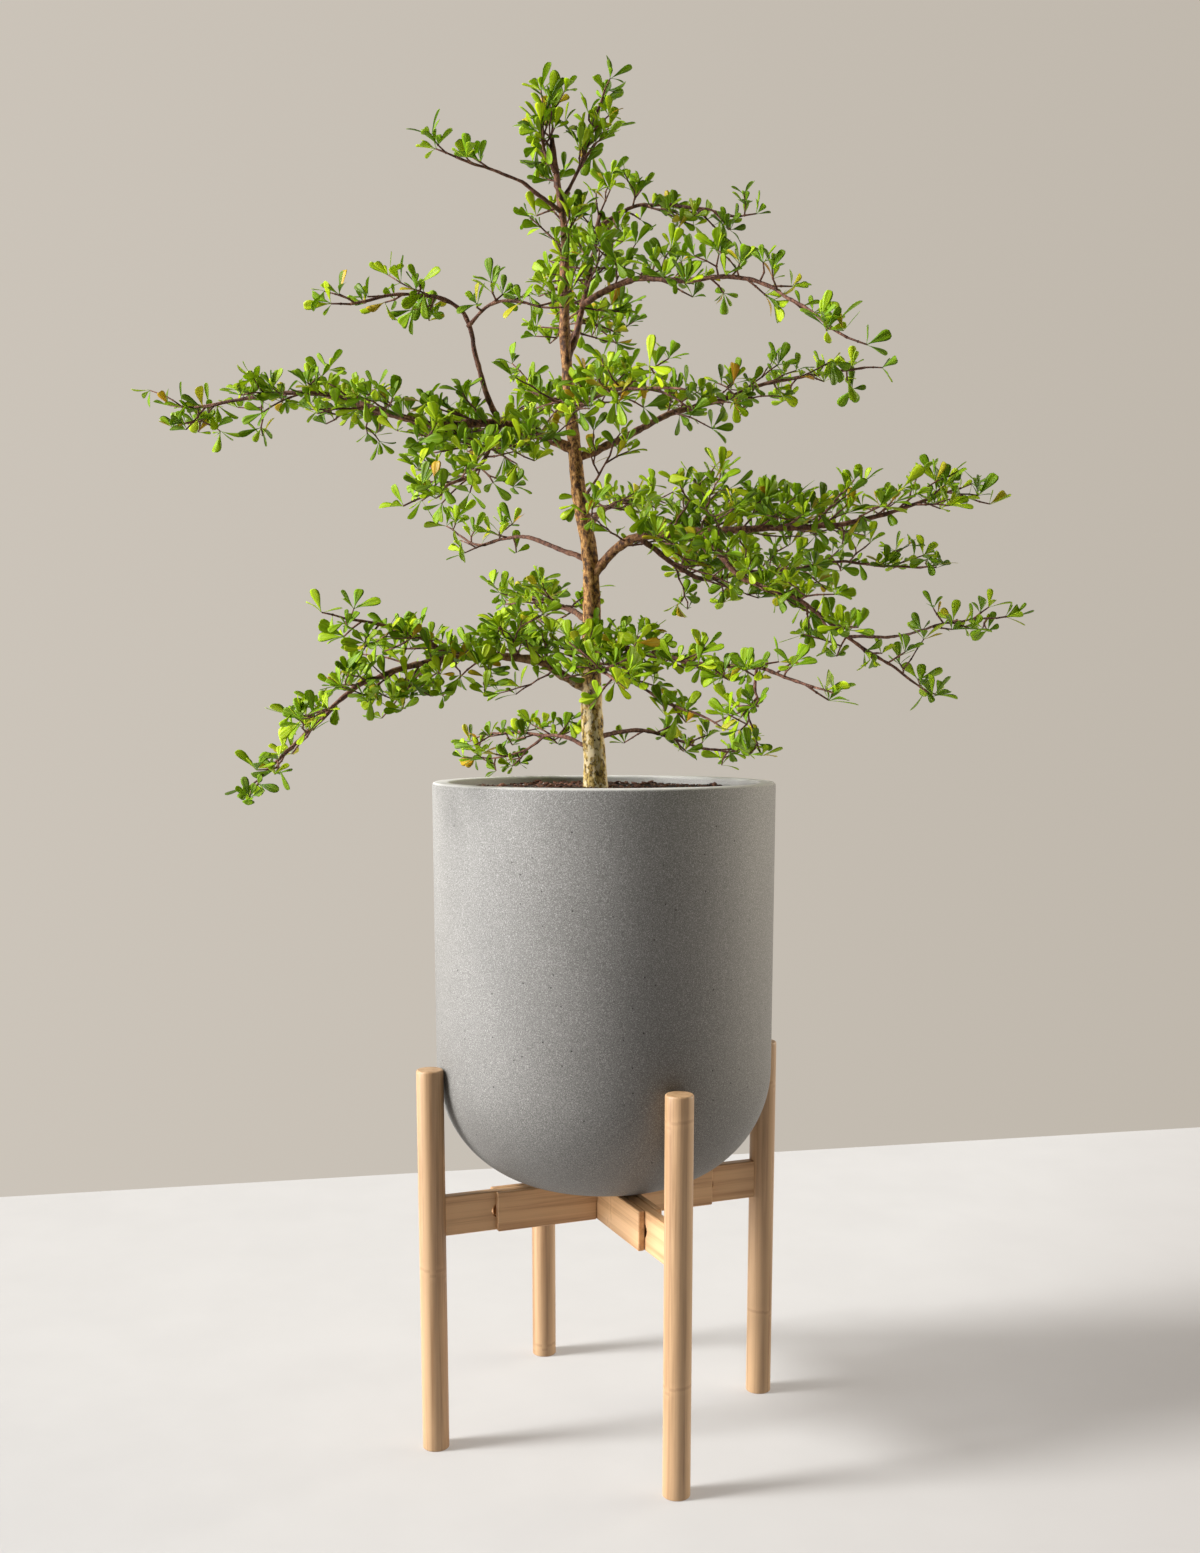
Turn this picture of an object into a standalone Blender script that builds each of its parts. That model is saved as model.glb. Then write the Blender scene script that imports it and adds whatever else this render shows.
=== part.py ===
"""An indoor bonsai: a tiered tree with small leaves, in a grey stoneware pot, on a bamboo stand.

The stand is adjustable. Each leg is fixed to a slotted arm, which slides outwards between the two
plates of a cross bar. +Z is up, the origin is on the floor under the pot's axis, and -Y is the front.
"""

import math
import random

import bmesh
import bpy
from mathutils import Vector

MM = 0.001
GAP = 0.3 * MM

# Pot
POT_RADIUS = 152.5 * MM
POT_WALL = 16.0 * MM
POT_BASE_Z = 236.0 * MM
POT_RIM_Z = 601.0 * MM
POT_CORNER = 108.0 * MM
RIM_ROUND = 3.0 * MM
DRAIN_RADIUS = 9.0 * MM
SOIL_BELOW_RIM = 12.0 * MM
SOIL_CROWN = 2.0 * MM
PLUG_TAPER = 0.6 * MM
TURNED_SIDES = 48
CORNER_STEPS = 7
RIM_STEPS = 2
SMOOTH_ANGLE = math.radians(35.0)

# Stand
STAND_TURN = math.radians(22.0)
LEG_RADIUS = 12.0 * MM
LEG_HEIGHT = 352.0 * MM
LEG_SIDES = 24
LEG_ROUND = 1.5 * MM
LEG_CENTRE = POT_RADIUS + LEG_RADIUS + 0.5 * MM
BAR_TOP = POT_BASE_Z - GAP
BAR_HEIGHT = 36.0 * MM
PLATE_HALF_LENGTH = 107.0 * MM
PLATE_THICK = 6.0 * MM
ARM_THICK = 9.8 * MM
ARM_INNER = 30.0 * MM
ARM_TENON = 8.0 * MM
SLOT_INNER = 60.0 * MM
SLOT_OUTER = 111.0 * MM
SLOT_HEIGHT = 13.0 * MM
DOWEL_RADIUS = 6.0 * MM
DOWEL_AT = 92.0 * MM
DOWEL_SOCKET = 2.5 * MM
DOWEL_SIDES = 16
SLOT_END_STEPS = 6
EDGE_BEVEL = 0.8 * MM

# Soil and tree
SOIL_Z = POT_RIM_Z - SOIL_BELOW_RIM
SOIL_RING_SHARES = (0.66, 0.33)
TUBE_STEP = 28.0 * MM
TRUNK_SIDES = 12
LIMB_SIDES = 6
BARK_CLEARANCE = 0.8 * MM

# Foliage pads: points round each ring, rings along the pad, how far the end rings lie inside the
# pad's ends as a share of a ring's spacing, how blunt those ends are, and the range of the lumps.
RING_POINTS = 8
PAD_RINGS = 6
PAD_END_INSET = 0.35
PAD_BLUNTNESS = 2.6
PAD_LUMPS = (0.82, 1.08)
WOBBLE_SEED = 7

# The trunk's centreline from the root stub to the top shoot, in millimetres: x, y, z, radius.
TRUNK = [
    (-4, 0, 520, 5.0),
    (-6, 0, 560, 10.0),
    (-7, 0, 590, 12.0),
    (-8, 1, 612, 10.2),
    (-11, 2, 673, 9.2),
    (-11, -4, 759, 7.4),
    (-13, -5, 801, 6.8),
    (-21, 0, 844, 6.2),
    (-27, 6, 900, 5.6),
    (-33, 8, 970, 4.6),
    (-34, 4, 1020, 3.9),
    (-34, 0, 1065, 3.2),
    (-42, -5, 1120, 2.4),
    (-44, -5, 1138, 1.4),
]

# Each limb: thickness where it starts and where it ends, then its route in millimetres. The first
# point lies inside the wood that it grows from.
LIMBS = {
    "root_left": (6, 2.5, [(-7, 0, 586), (-35, -8, 582), (-62, -22, 574)]),
    "root_front": (6, 2.5, [(-7, 0, 586), (2, -30, 581), (14, -55, 572)]),
    "root_back": (6, 2.5, [(-7, 0, 586), (10, 24, 582), (34, 44, 573)]),
    "top_left": (2.0, 1.0, [(-36, -2, 1078), (-54, -15, 1088), (-80, -25, 1100), (-122, -36, 1110)]),
    "crown_left": (1.8, 1.0, [(-41, -5, 1108), (-50, -8, 1128), (-52, -10, 1146)]),
    "crown_right": (1.8, 1.0, [(-37, -2, 1086), (-22, 2, 1112), (-12, 0, 1138), (-6, -2, 1158)]),
    "second_leader": (3.2, 1.8, [(-32, 8, 960), (-23, 18, 987), (-15, 32, 1030), (-3, 50, 1093)]),
    "top_right": (1.9, 1.0, [(-6, 46, 1080), (25, 50, 1098), (66, 40, 1096), (112, 8, 1078)]),
    "upper_right": (
        3.0,
        1.0,
        [
            (-20, 24, 1010), (22, 0, 1024), (63, -30, 1016), (103, -55, 1012), (133, -75, 1000),
            (190, -116, 952),
        ],
    ),
    "upper_left": (
        2.8,
        1.0,
        [
            (-88, -20, 903), (-99, -32, 925), (-107, -42, 955), (-118, -46, 990), (-160, -60, 998),
            (-205, -74, 986),
        ],
    ),
    "upper_left_fork": (1.7, 1.0, [(-113, -45, 976), (-94, -55, 990), (-70, -68, 991), (-50, -78, 983)]),
    "left_mid": (
        4.6,
        1.2,
        [
            (-25, 5, 886), (-51, 0, 896), (-88, -20, 903), (-147, -30, 901), (-215, -20, 922),
            (-270, -5, 932), (-355, 8, 922),
        ],
    ),
    "hanging": (2.2, 1.0, [(-88, -20, 903), (-96, -60, 876), (-106, -95, 853), (-140, -138, 828)]),
    "right_mid": (
        3.8,
        1.1,
        [
            (-22, 4, 880), (14, 20, 897), (59, 50, 924), (105, 75, 941), (143, 95, 957),
            (201, 120, 973), (245, 134, 981),
        ],
    ),
    "centre_front": (2.8, 1.0, [(-29, 8, 918), (-12, -40, 920), (13, -90, 918), (50, -148, 908)]),
    "centre_back": (2.8, 1.0, [(-30, 8, 930), (-39, 60, 936), (-55, 120, 952), (-70, 168, 960)]),
    "thin_twig": (1.4, 0.8, [(-19, 0, 842), (-6, -10, 861), (5, -20, 878)]),
    "small_left": (
        2.6,
        1.0,
        [(-14, -5, 792), (-39, 15, 804), (-76, 50, 819), (-114, 85, 814), (-136, 103, 826)],
    ),
    "big_right": (
        4.8,
        1.2,
        [
            (-13, -5, 776), (11, -15, 801), (43, -30, 811), (114, -55, 812), (189, -55, 816),
            (240, -42, 828), (296, -26, 848),
        ],
    ),
    "right_lower": (
        2.6,
        1.0,
        [
            (31, -25, 808), (58, 0, 792), (88, 25, 779), (124, 50, 786), (171, 75, 792),
            (217, 95, 800), (300, 118, 797),
        ],
    ),
    "drooping": (
        2.8,
        1.0,
        [
            (81, -45, 812), (98, -60, 790), (117, -70, 771), (162, -75, 753), (206, -70, 722),
            (270, -55, 683),
        ],
    ),
    "droop_tip": (
        1.4,
        0.8,
        [(204, -70, 724), (255, -30, 727), (299, 20, 739), (333, 50, 745), (362, 68, 748)],
    ),
    "right_low": (
        3.4,
        1.1,
        [
            (-11, 0, 722), (14, -40, 716), (38, -75, 709), (85, -125, 699), (121, -165, 695),
            (158, -198, 680),
        ],
    ),
    "zigzag": (
        1.3,
        0.8,
        [(119, -163, 695), (117, -166, 680), (120, -170, 669), (112, -172, 660), (116, -175, 648)],
    ),
    "under_right": (1.8, 0.9, [(5, -26, 718), (19, -55, 696), (38, -80, 677), (82, -128, 657)]),
    "right_bottom": (
        2.4,
        1.0,
        [(-11, 1, 638), (15, 30, 644), (48, 65, 643), (96, 115, 628), (130, 148, 624)],
    ),
    "left_low": (
        4.6,
        1.2,
        [
            (-12, 1, 680), (-34, -5, 692), (-62, -20, 707), (-128, -60, 706), (-197, -95, 686),
            (-231, -120, 654), (-270, -143, 616),
        ],
    ),
    "left_low_fork": (2.4, 1.0, [(-128, -60, 706), (-148, -85, 721), (-178, -110, 731), (-208, -128, 735)]),
    "left_bottom": (
        2.2,
        1.0,
        [(-11, 1, 630), (-31, 25, 638), (-54, 55, 641), (-92, 96, 643), (-118, 120, 640)],
    ),
    "lowest": (1.4, 0.8, [(-54, 55, 641), (-70, 80, 629), (-91, 100, 621), (-110, 118, 617)]),
    "front": (2.4, 1.0, [(-11, 0, 700), (-9, -60, 703), (-4, -120, 696), (9, -205, 684)]),
    "back_high": (2.4, 1.0, [(-33, 8, 968), (-26, 60, 997), (-13, 120, 1022), (5, 176, 1036)]),
    "back_mid": (3.4, 1.1, [(-16, -3, 816), (-4, 50, 838), (15, 120, 858), (36, 180, 870), (48, 212, 872)]),
    "back_low": (
        3.4,
        1.1,
        [(-11, -2, 738), (-26, 50, 751), (-51, 120, 765), (-80, 184, 772), (-92, 214, 770)],
    ),
}

# Each pad of foliage: its half width, its rise above and fall below its own middle line, and that
# line in millimetres. The leaves sit mostly on top of the limb that carries them.
FOLIAGE = {
    "foliage_crown": (42, 34, 24, [(-88, -10, 1148), (-42, -5, 1160), (6, 5, 1148)]),
    "foliage_top_left": (28, 10, 7, [(-132, -38, 1118), (-106, -33, 1122), (-78, -24, 1112)]),
    "foliage_top_right": (52, 14, 10, [(-20, 52, 1094), (30, 50, 1108), (75, 36, 1106), (134, 0, 1084)]),
    "foliage_upper_right": (
        46,
        12,
        8,
        [(35, -10, 1032), (85, -44, 1026), (135, -76, 1008), (204, -124, 958)],
    ),
    "foliage_upper_left": (
        40,
        12,
        8,
        [(-218, -78, 990), (-162, -60, 1008), (-112, -50, 1006), (-38, -82, 992)],
    ),
    "foliage_left_mid": (62, 13, 9, [(-384, 10, 928), (-300, 2, 940), (-215, -20, 934), (-60, -8, 908)]),
    "foliage_hanging": (36, 9, 8, [(-156, -150, 828), (-122, -118, 848), (-98, -72, 872)]),
    "foliage_right_mid": (54, 12, 9, [(40, 40, 925), (110, 80, 952), (190, 116, 980), (262, 140, 990)]),
    "foliage_centre_front": (40, 12, 8, [(-16, -46, 936), (16, -94, 932), (56, -158, 918)]),
    "foliage_centre_back": (46, 12, 8, [(-42, 74, 950), (-56, 124, 964), (-76, 184, 972)]),
    "foliage_small_left": (28, 9, 7, [(-150, 116, 838), (-112, 84, 824), (-70, 44, 826)]),
    "foliage_big_right": (56, 13, 9, [(52, -34, 822), (130, -55, 828), (200, -54, 832), (312, -20, 862)]),
    "foliage_right_lower": (38, 10, 8, [(140, 58, 798), (215, 95, 810), (312, 122, 804)]),
    "foliage_drooping": (38, 10, 7, [(140, -75, 772), (206, -72, 734), (250, -62, 710), (290, -50, 684)]),
    "foliage_droop_tip": (20, 7, 6, [(285, 12, 742), (330, 46, 754), (376, 74, 754)]),
    "foliage_right_low": (42, 10, 7, [(72, -112, 710), (112, -156, 705), (168, -206, 684)]),
    "foliage_under_right": (24, 8, 6, [(36, -76, 684), (62, -106, 674), (94, -140, 660)]),
    "foliage_right_bottom": (34, 9, 7, [(52, 68, 652), (100, 118, 638), (140, 158, 630)]),
    "foliage_left_fork": (44, 11, 7, [(-220, -134, 744), (-172, -106, 740), (-100, -42, 718)]),
    "foliage_left_low": (46, 10, 8, [(-286, -152, 612), (-244, -128, 654), (-198, -98, 692)]),
    "foliage_left_bottom": (34, 9, 7, [(-128, 130, 650), (-98, 102, 652), (-64, 62, 650)]),
    "foliage_front": (36, 10, 7, [(-8, -104, 706), (2, -160, 700), (14, -226, 690)]),
    "foliage_back_high": (46, 12, 8, [(-24, 76, 1010), (-10, 130, 1034), (10, 190, 1044)]),
    "foliage_back_mid": (52, 12, 8, [(4, 84, 852), (28, 150, 872), (54, 221, 880)]),
    "foliage_back_low": (50, 12, 8, [(-38, 84, 764), (-62, 150, 778), (-97, 222, 776)]),
}


def material(name, colour, roughness):
    """A plain Principled material."""
    made = bpy.data.materials.new(name)
    made.use_nodes = True
    shader = made.node_tree.nodes["Principled BSDF"]
    shader.inputs["Base Color"].default_value = (*colour, 1.0)
    shader.inputs["Roughness"].default_value = roughness
    return made


def add_object(name, mesh, finish=None):
    """Link a mesh into the scene under its node's name."""
    made = bpy.data.objects.new(name, mesh)
    bpy.context.scene.collection.objects.link(made)
    if finish:
        mesh.materials.append(finish)
    return made


def mesh_from(name, points, faces):
    """A mesh with its normals facing out."""
    mesh = bpy.data.meshes.new(name)
    mesh.from_pydata([tuple(p) for p in points], [], faces)
    work = bmesh.new()
    work.from_mesh(mesh)
    bmesh.ops.recalc_face_normals(work, faces=work.faces)
    work.to_mesh(mesh)
    work.free()
    return mesh


def smooth_shade(thing):
    thing.data.shade_smooth()
    thing.data.set_sharp_from_angle(angle=SMOOTH_ANGLE)


def as_cutter(thing):
    """Keep a helper shape out of the model."""
    thing.hide_render = True
    thing.display_type = "WIRE"
    return thing


def boolean(thing, operation, other=None, group=None):
    """Join or cut with one object or with a collection of them."""
    change = thing.modifiers.new("Join" if operation == "UNION" else "Cut", "BOOLEAN")
    change.operation = operation
    change.solver = "EXACT"
    if group:
        change.operand_type = "COLLECTION"
        change.collection = group
    else:
        change.object = other


def largest_body(thing):
    """Apply the modifiers and keep the biggest connected body, without crumbs left by a cut."""
    evaluated = thing.evaluated_get(bpy.context.evaluated_depsgraph_get())
    mesh = bpy.data.meshes.new_from_object(evaluated)
    thing.modifiers.clear()
    thing.data = mesh
    work = bmesh.new()
    work.from_mesh(mesh)
    unseen = set(work.verts)
    bodies = []
    while unseen:
        body = set()
        edge_of_search = [unseen.pop()]
        while edge_of_search:
            vertex = edge_of_search.pop()
            body.add(vertex)
            for edge in vertex.link_edges:
                neighbour = edge.other_vert(vertex)
                if neighbour in unseen:
                    unseen.discard(neighbour)
                    edge_of_search.append(neighbour)
        bodies.append(body)
    bodies.sort(key=len)
    for crumb in bodies[:-1]:
        bmesh.ops.delete(work, geom=list(crumb), context="VERTS")
    work.to_mesh(mesh)
    work.free()


def catmull_rom(before, start, end, after, t):
    """A point of the smooth curve between start and end."""
    return 0.5 * (
        2 * start
        + (end - before) * t
        + (2 * before - 5 * start + 4 * end - after) * t**2
        + (3 * start - before - 3 * end + after) * t**3
    )


def smooth_route(route, step):
    """Points about one step apart on the smooth curve through a route's own points."""
    ends = [2 * route[0] - route[1], *route, 2 * route[-1] - route[-2]]
    points = []
    for i in range(len(route) - 1):
        count = max(1, round((route[i + 1] - route[i]).length / step))
        for k in range(count):
            points.append(catmull_rom(*ends[i : i + 4], k / count))
    points.append(route[-1].copy())
    return points


def tube_mesh(name, points, radii, sides):
    """A closed tube along the points, turned as little as possible from ring to ring."""
    tangents = []
    for i in range(len(points)):
        ahead = points[min(i + 1, len(points) - 1)]
        behind = points[max(i - 1, 0)]
        tangents.append((ahead - behind).normalized())
    across = tangents[0].orthogonal().normalized()
    vertices = []
    for i, point in enumerate(points):
        if i:
            across = tangents[i - 1].rotation_difference(tangents[i]) @ across
        other = tangents[i].cross(across).normalized()
        for k in range(sides):
            angle = 2 * math.pi * k / sides
            vertices.append(point + radii[i] * (math.cos(angle) * across + math.sin(angle) * other))
    faces = [list(range(sides)), [len(vertices) - 1 - k for k in range(sides)]]
    for i in range(len(points) - 1):
        for k in range(sides):
            low = i * sides
            after = (k + 1) % sides
            faces.append([low + k, low + after, low + sides + after, low + sides + k])
    return mesh_from(name, vertices, faces)


def turned_mesh(name, profile, closed):
    """A profile of (radius, height) turned about Z. An open profile starts and ends on the axis."""
    rings = profile if closed else profile[1:-1]
    vertices = []
    for radius, height in rings:
        for k in range(TURNED_SIDES):
            angle = 2 * math.pi * k / TURNED_SIDES
            vertices.append(Vector((radius * math.cos(angle), radius * math.sin(angle), height)))
    faces = []
    for i in range(len(rings) if closed else len(rings) - 1):
        low = i * TURNED_SIDES
        high = (i + 1) % len(rings) * TURNED_SIDES
        for k in range(TURNED_SIDES):
            after = (k + 1) % TURNED_SIDES
            faces.append([low + k, low + after, high + after, high + k])
    if not closed:
        last = (len(rings) - 1) * TURNED_SIDES
        for ring_start, height in ((0, profile[0][1]), (last, profile[-1][1])):
            centre = len(vertices)
            vertices.append(Vector((0, 0, height)))
            for k in range(TURNED_SIDES):
                faces.append([ring_start + k, ring_start + (k + 1) % TURNED_SIDES, centre])
    return mesh_from(name, vertices, faces)


def prism_mesh(name, outline, low, high):
    """An outline of (along, height) made solid from low to high across the bar."""
    vertices = [Vector((along, low, height)) for along, height in outline]
    vertices += [Vector((along, high, height)) for along, height in outline]
    count = len(outline)
    faces = [list(range(count)), list(range(2 * count - 1, count - 1, -1))]
    for k in range(count):
        after = (k + 1) % count
        faces.append([k, after, count + after, count + k])
    return mesh_from(name, vertices, faces)


def arc(centre_r, centre_z, radius, start, end, steps):
    """Points of a round corner, with the angles in degrees from the outward direction."""
    points = []
    for i in range(steps + 1):
        angle = math.radians(start + (end - start) * i / steps)
        points.append((centre_r + radius * math.cos(angle), centre_z + radius * math.sin(angle)))
    return points


def pot_inside():
    """The inner wall's profile, from the drain hole's edge up to the rim."""
    inner = POT_RADIUS - POT_WALL
    corner = POT_CORNER - POT_WALL
    floor_z = POT_BASE_Z + POT_WALL
    return arc(inner - corner, floor_z + corner, corner, -90, 0, CORNER_STEPS)


def build_pot(finish, rubber):
    base = POT_RADIUS - POT_CORNER
    outside = [(DRAIN_RADIUS, POT_BASE_Z)]
    outside += arc(base, POT_BASE_Z + POT_CORNER, POT_CORNER, -90, 0, CORNER_STEPS)
    outside += arc(POT_RADIUS - RIM_ROUND, POT_RIM_Z - RIM_ROUND, RIM_ROUND, 0, 90, RIM_STEPS)
    inner = POT_RADIUS - POT_WALL
    rim = arc(inner + RIM_ROUND, POT_RIM_Z - RIM_ROUND, RIM_ROUND, 90, 180, RIM_STEPS)
    inside = list(reversed(pot_inside()))
    profile = outside + rim + inside + [(DRAIN_RADIUS, POT_BASE_Z + POT_WALL)]
    pot = add_object("planter_pot", turned_mesh("planter_pot", profile, True), finish)
    smooth_shade(pot)

    plug_radius = DRAIN_RADIUS - GAP
    plug_top = POT_BASE_Z + POT_WALL - GAP
    plug_profile = [
        (0, POT_BASE_Z + GAP),
        (plug_radius, POT_BASE_Z + GAP),
        (plug_radius - PLUG_TAPER, plug_top),
        (0, plug_top),
    ]
    plug = add_object("drain_plug", turned_mesh("drain_plug", plug_profile, False), rubber)
    smooth_shade(plug)


def build_soil(finish, roots):
    """Potting mix filling the pot, moulded round the root stub."""
    inside = [(radius - GAP, height + GAP) for radius, height in pot_inside()]
    edge = inside[-1][0]
    profile = [(0, inside[0][1]), *inside, (edge, SOIL_Z)]
    for share in SOIL_RING_SHARES:
        profile.append((edge * share, SOIL_Z + SOIL_CROWN * (1 - share**2)))
    profile.append((0, SOIL_Z + SOIL_CROWN))
    soil = add_object("potting_soil", turned_mesh("potting_soil", profile, False), finish)
    smooth_shade(soil)
    boolean(soil, "DIFFERENCE", group=roots)


def limb_tube(name, thick, thin, route, grow):
    """One limb as a tapering tube. grow makes it fatter and longer, to cut room for itself."""
    points = smooth_route([Vector(p) * MM for p in route], TUBE_STEP)
    count = len(points)
    radii = []
    for i in range(count):
        share = i / (count - 1)
        radii.append((thick + (thin - thick) * share) * MM + grow)
    if grow:
        points[-1] = points[-1] + (points[-1] - points[-2]).normalized() * grow
    return tube_mesh(name, points, radii, LIMB_SIDES)


def trunk_tube(name, grow):
    """The trunk, whose thickness is given at each point of its route."""
    route = [Vector(p) * MM for p in TRUNK]
    points = smooth_route(route, TUBE_STEP)
    radii = [point[3] + grow for point in points]
    centres = [Vector(point[:3]) for point in points]
    if grow:
        centres[0] = centres[0] - Vector((0, 0, grow))
        centres[-1] = centres[-1] + Vector((0, 0, grow))
    return tube_mesh(name, centres, radii, TRUNK_SIDES)


def build_wood(finish):
    """The trunk, limbs and root stubs, grown as one solid. Returns the cutters that fit round it."""
    limbs = bpy.data.collections.new("limbs")
    room = bpy.data.collections.new("room_for_wood")
    bpy.context.scene.collection.children.link(limbs)
    bpy.context.scene.collection.children.link(room)
    for name, (thick, thin, route) in LIMBS.items():
        for group, grow in ((limbs, 0.0), (room, BARK_CLEARANCE)):
            helper = bpy.data.objects.new(f"{group.name}_{name}", limb_tube(name, thick, thin, route, grow))
            group.objects.link(helper)
            as_cutter(helper)
    helper = bpy.data.objects.new("room_trunk", trunk_tube("room_trunk", BARK_CLEARANCE))
    room.objects.link(helper)
    as_cutter(helper)
    wood = add_object("trunk_and_branches", trunk_tube("trunk_and_branches", 0.0), finish)
    boolean(wood, "UNION", group=limbs)
    largest_body(wood)
    smooth_shade(wood)
    return room


def build_foliage(finish, room):
    """Each pad of leaves as a lumpy flat body along its own middle line, cut clear of the wood."""
    wobble = random.Random(WOBBLE_SEED)
    for name, (half_width, rise, fall, line) in FOLIAGE.items():
        route = [Vector(p) * MM for p in line]
        length = sum((b - a).length for a, b in zip(route, route[1:]))
        points = smooth_route(route, length / PAD_RINGS)
        count = len(points)
        vertices = []
        for i, point in enumerate(points):
            ahead = points[min(i + 1, count - 1)]
            behind = points[max(i - 1, 0)]
            side = (ahead - behind).cross(Vector((0, 0, 1))).normalized()
            share = (i + PAD_END_INSET) / (count - 1 + 2 * PAD_END_INSET)
            fullness = math.sqrt(1 - abs(2 * share - 1) ** PAD_BLUNTNESS)
            for k in range(RING_POINTS):
                angle = 2 * math.pi * k / RING_POINTS
                lump = wobble.uniform(*PAD_LUMPS) * fullness
                height = (rise if math.sin(angle) > 0 else fall) * math.sin(angle)
                offset = side * half_width * math.cos(angle) + Vector((0, 0, height))
                vertices.append(point + offset * lump * MM)
        faces = [list(range(RING_POINTS)), [len(vertices) - 1 - k for k in range(RING_POINTS)]]
        for i in range(count - 1):
            low = i * RING_POINTS
            for k in range(RING_POINTS):
                after = (k + 1) % RING_POINTS
                faces.append([low + k, low + after, low + RING_POINTS + after, low + RING_POINTS + k])
        pad = add_object(name, mesh_from(name, vertices, faces), finish)
        boolean(pad, "DIFFERENCE", group=room)
        largest_body(pad)
        smooth_shade(pad)


def plate_outline(notch_from_top):
    """A cross bar plate, with the half-lap notches where the other bar's two plates pass."""
    bottom = BAR_TOP - BAR_HEIGHT
    middle = BAR_TOP - BAR_HEIGHT / 2
    notch_centre = (ARM_THICK + PLATE_THICK) / 2 + GAP
    half_notch = PLATE_THICK / 2 + GAP
    notch_edge = BAR_TOP if notch_from_top else bottom
    notch_depth = middle - GAP / 2 if notch_from_top else middle + GAP / 2
    notched = []
    for side in (-1, 1):
        near = side * notch_centre - half_notch
        far = side * notch_centre + half_notch
        notched += [(near, notch_edge), (near, notch_depth), (far, notch_depth), (far, notch_edge)]
    plain_edge = bottom if notch_from_top else BAR_TOP
    notched_side = [(-PLATE_HALF_LENGTH, notch_edge), *notched, (PLATE_HALF_LENGTH, notch_edge)]
    plain_side = [(PLATE_HALF_LENGTH, plain_edge), (-PLATE_HALF_LENGTH, plain_edge)]
    return notched_side + plain_side


def stadium(centre, half_length, radius, height):
    """A slot's outline, round at both ends."""
    right = arc(centre + half_length - radius, height, radius, -90, 90, SLOT_END_STEPS)
    left = arc(centre - half_length + radius, height, radius, 90, 270, SLOT_END_STEPS)
    return right + left


def dowel_circle(centre, height, radius):
    return arc(centre, height, radius, 0, 360, DOWEL_SIDES)[:-1]


def bevel(thing):
    change = thing.modifiers.new("Edges", "BEVEL")
    change.width = EDGE_BEVEL
    change.segments = 1
    change.limit_method = "ANGLE"


def build_cross_bar(name, heading, notch_from_top, bamboo):
    """Two plates side by side, with a dowel between them for each arm's slot."""
    middle = BAR_TOP - BAR_HEIGHT / 2
    inner_face = ARM_THICK / 2 + GAP
    dowel_half = inner_face + DOWEL_SOCKET - GAP
    for side, word in ((-1, "near"), (1, "far")):
        faces_at = sorted((side * inner_face, side * (inner_face + PLATE_THICK)))
        outline = plate_outline(notch_from_top)
        plate_name = f"{name}_plate_{word}"
        plate = add_object(plate_name, prism_mesh(plate_name, outline, *faces_at), bamboo)
        plate.rotation_euler = (0, 0, heading)
        bevel(plate)
        for end in (-1, 1):
            socket_faces = sorted((0, side * (inner_face + DOWEL_SOCKET)))
            ring = dowel_circle(end * DOWEL_AT, middle, DOWEL_RADIUS + GAP)
            socket = add_object(f"cut_{plate_name}_{end}", prism_mesh("socket", ring, *socket_faces))
            socket.rotation_euler = (0, 0, heading)
            boolean(plate, "DIFFERENCE", as_cutter(socket))
    for end, word in ((1, "a"), (-1, "b")):
        ring = dowel_circle(end * DOWEL_AT, middle, DOWEL_RADIUS)
        mesh = prism_mesh("dowel", ring, -dowel_half, dowel_half)
        dowel = add_object(f"{name}_dowel_{word}", mesh, bamboo)
        dowel.rotation_euler = (0, 0, heading)
        smooth_shade(dowel)


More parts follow.
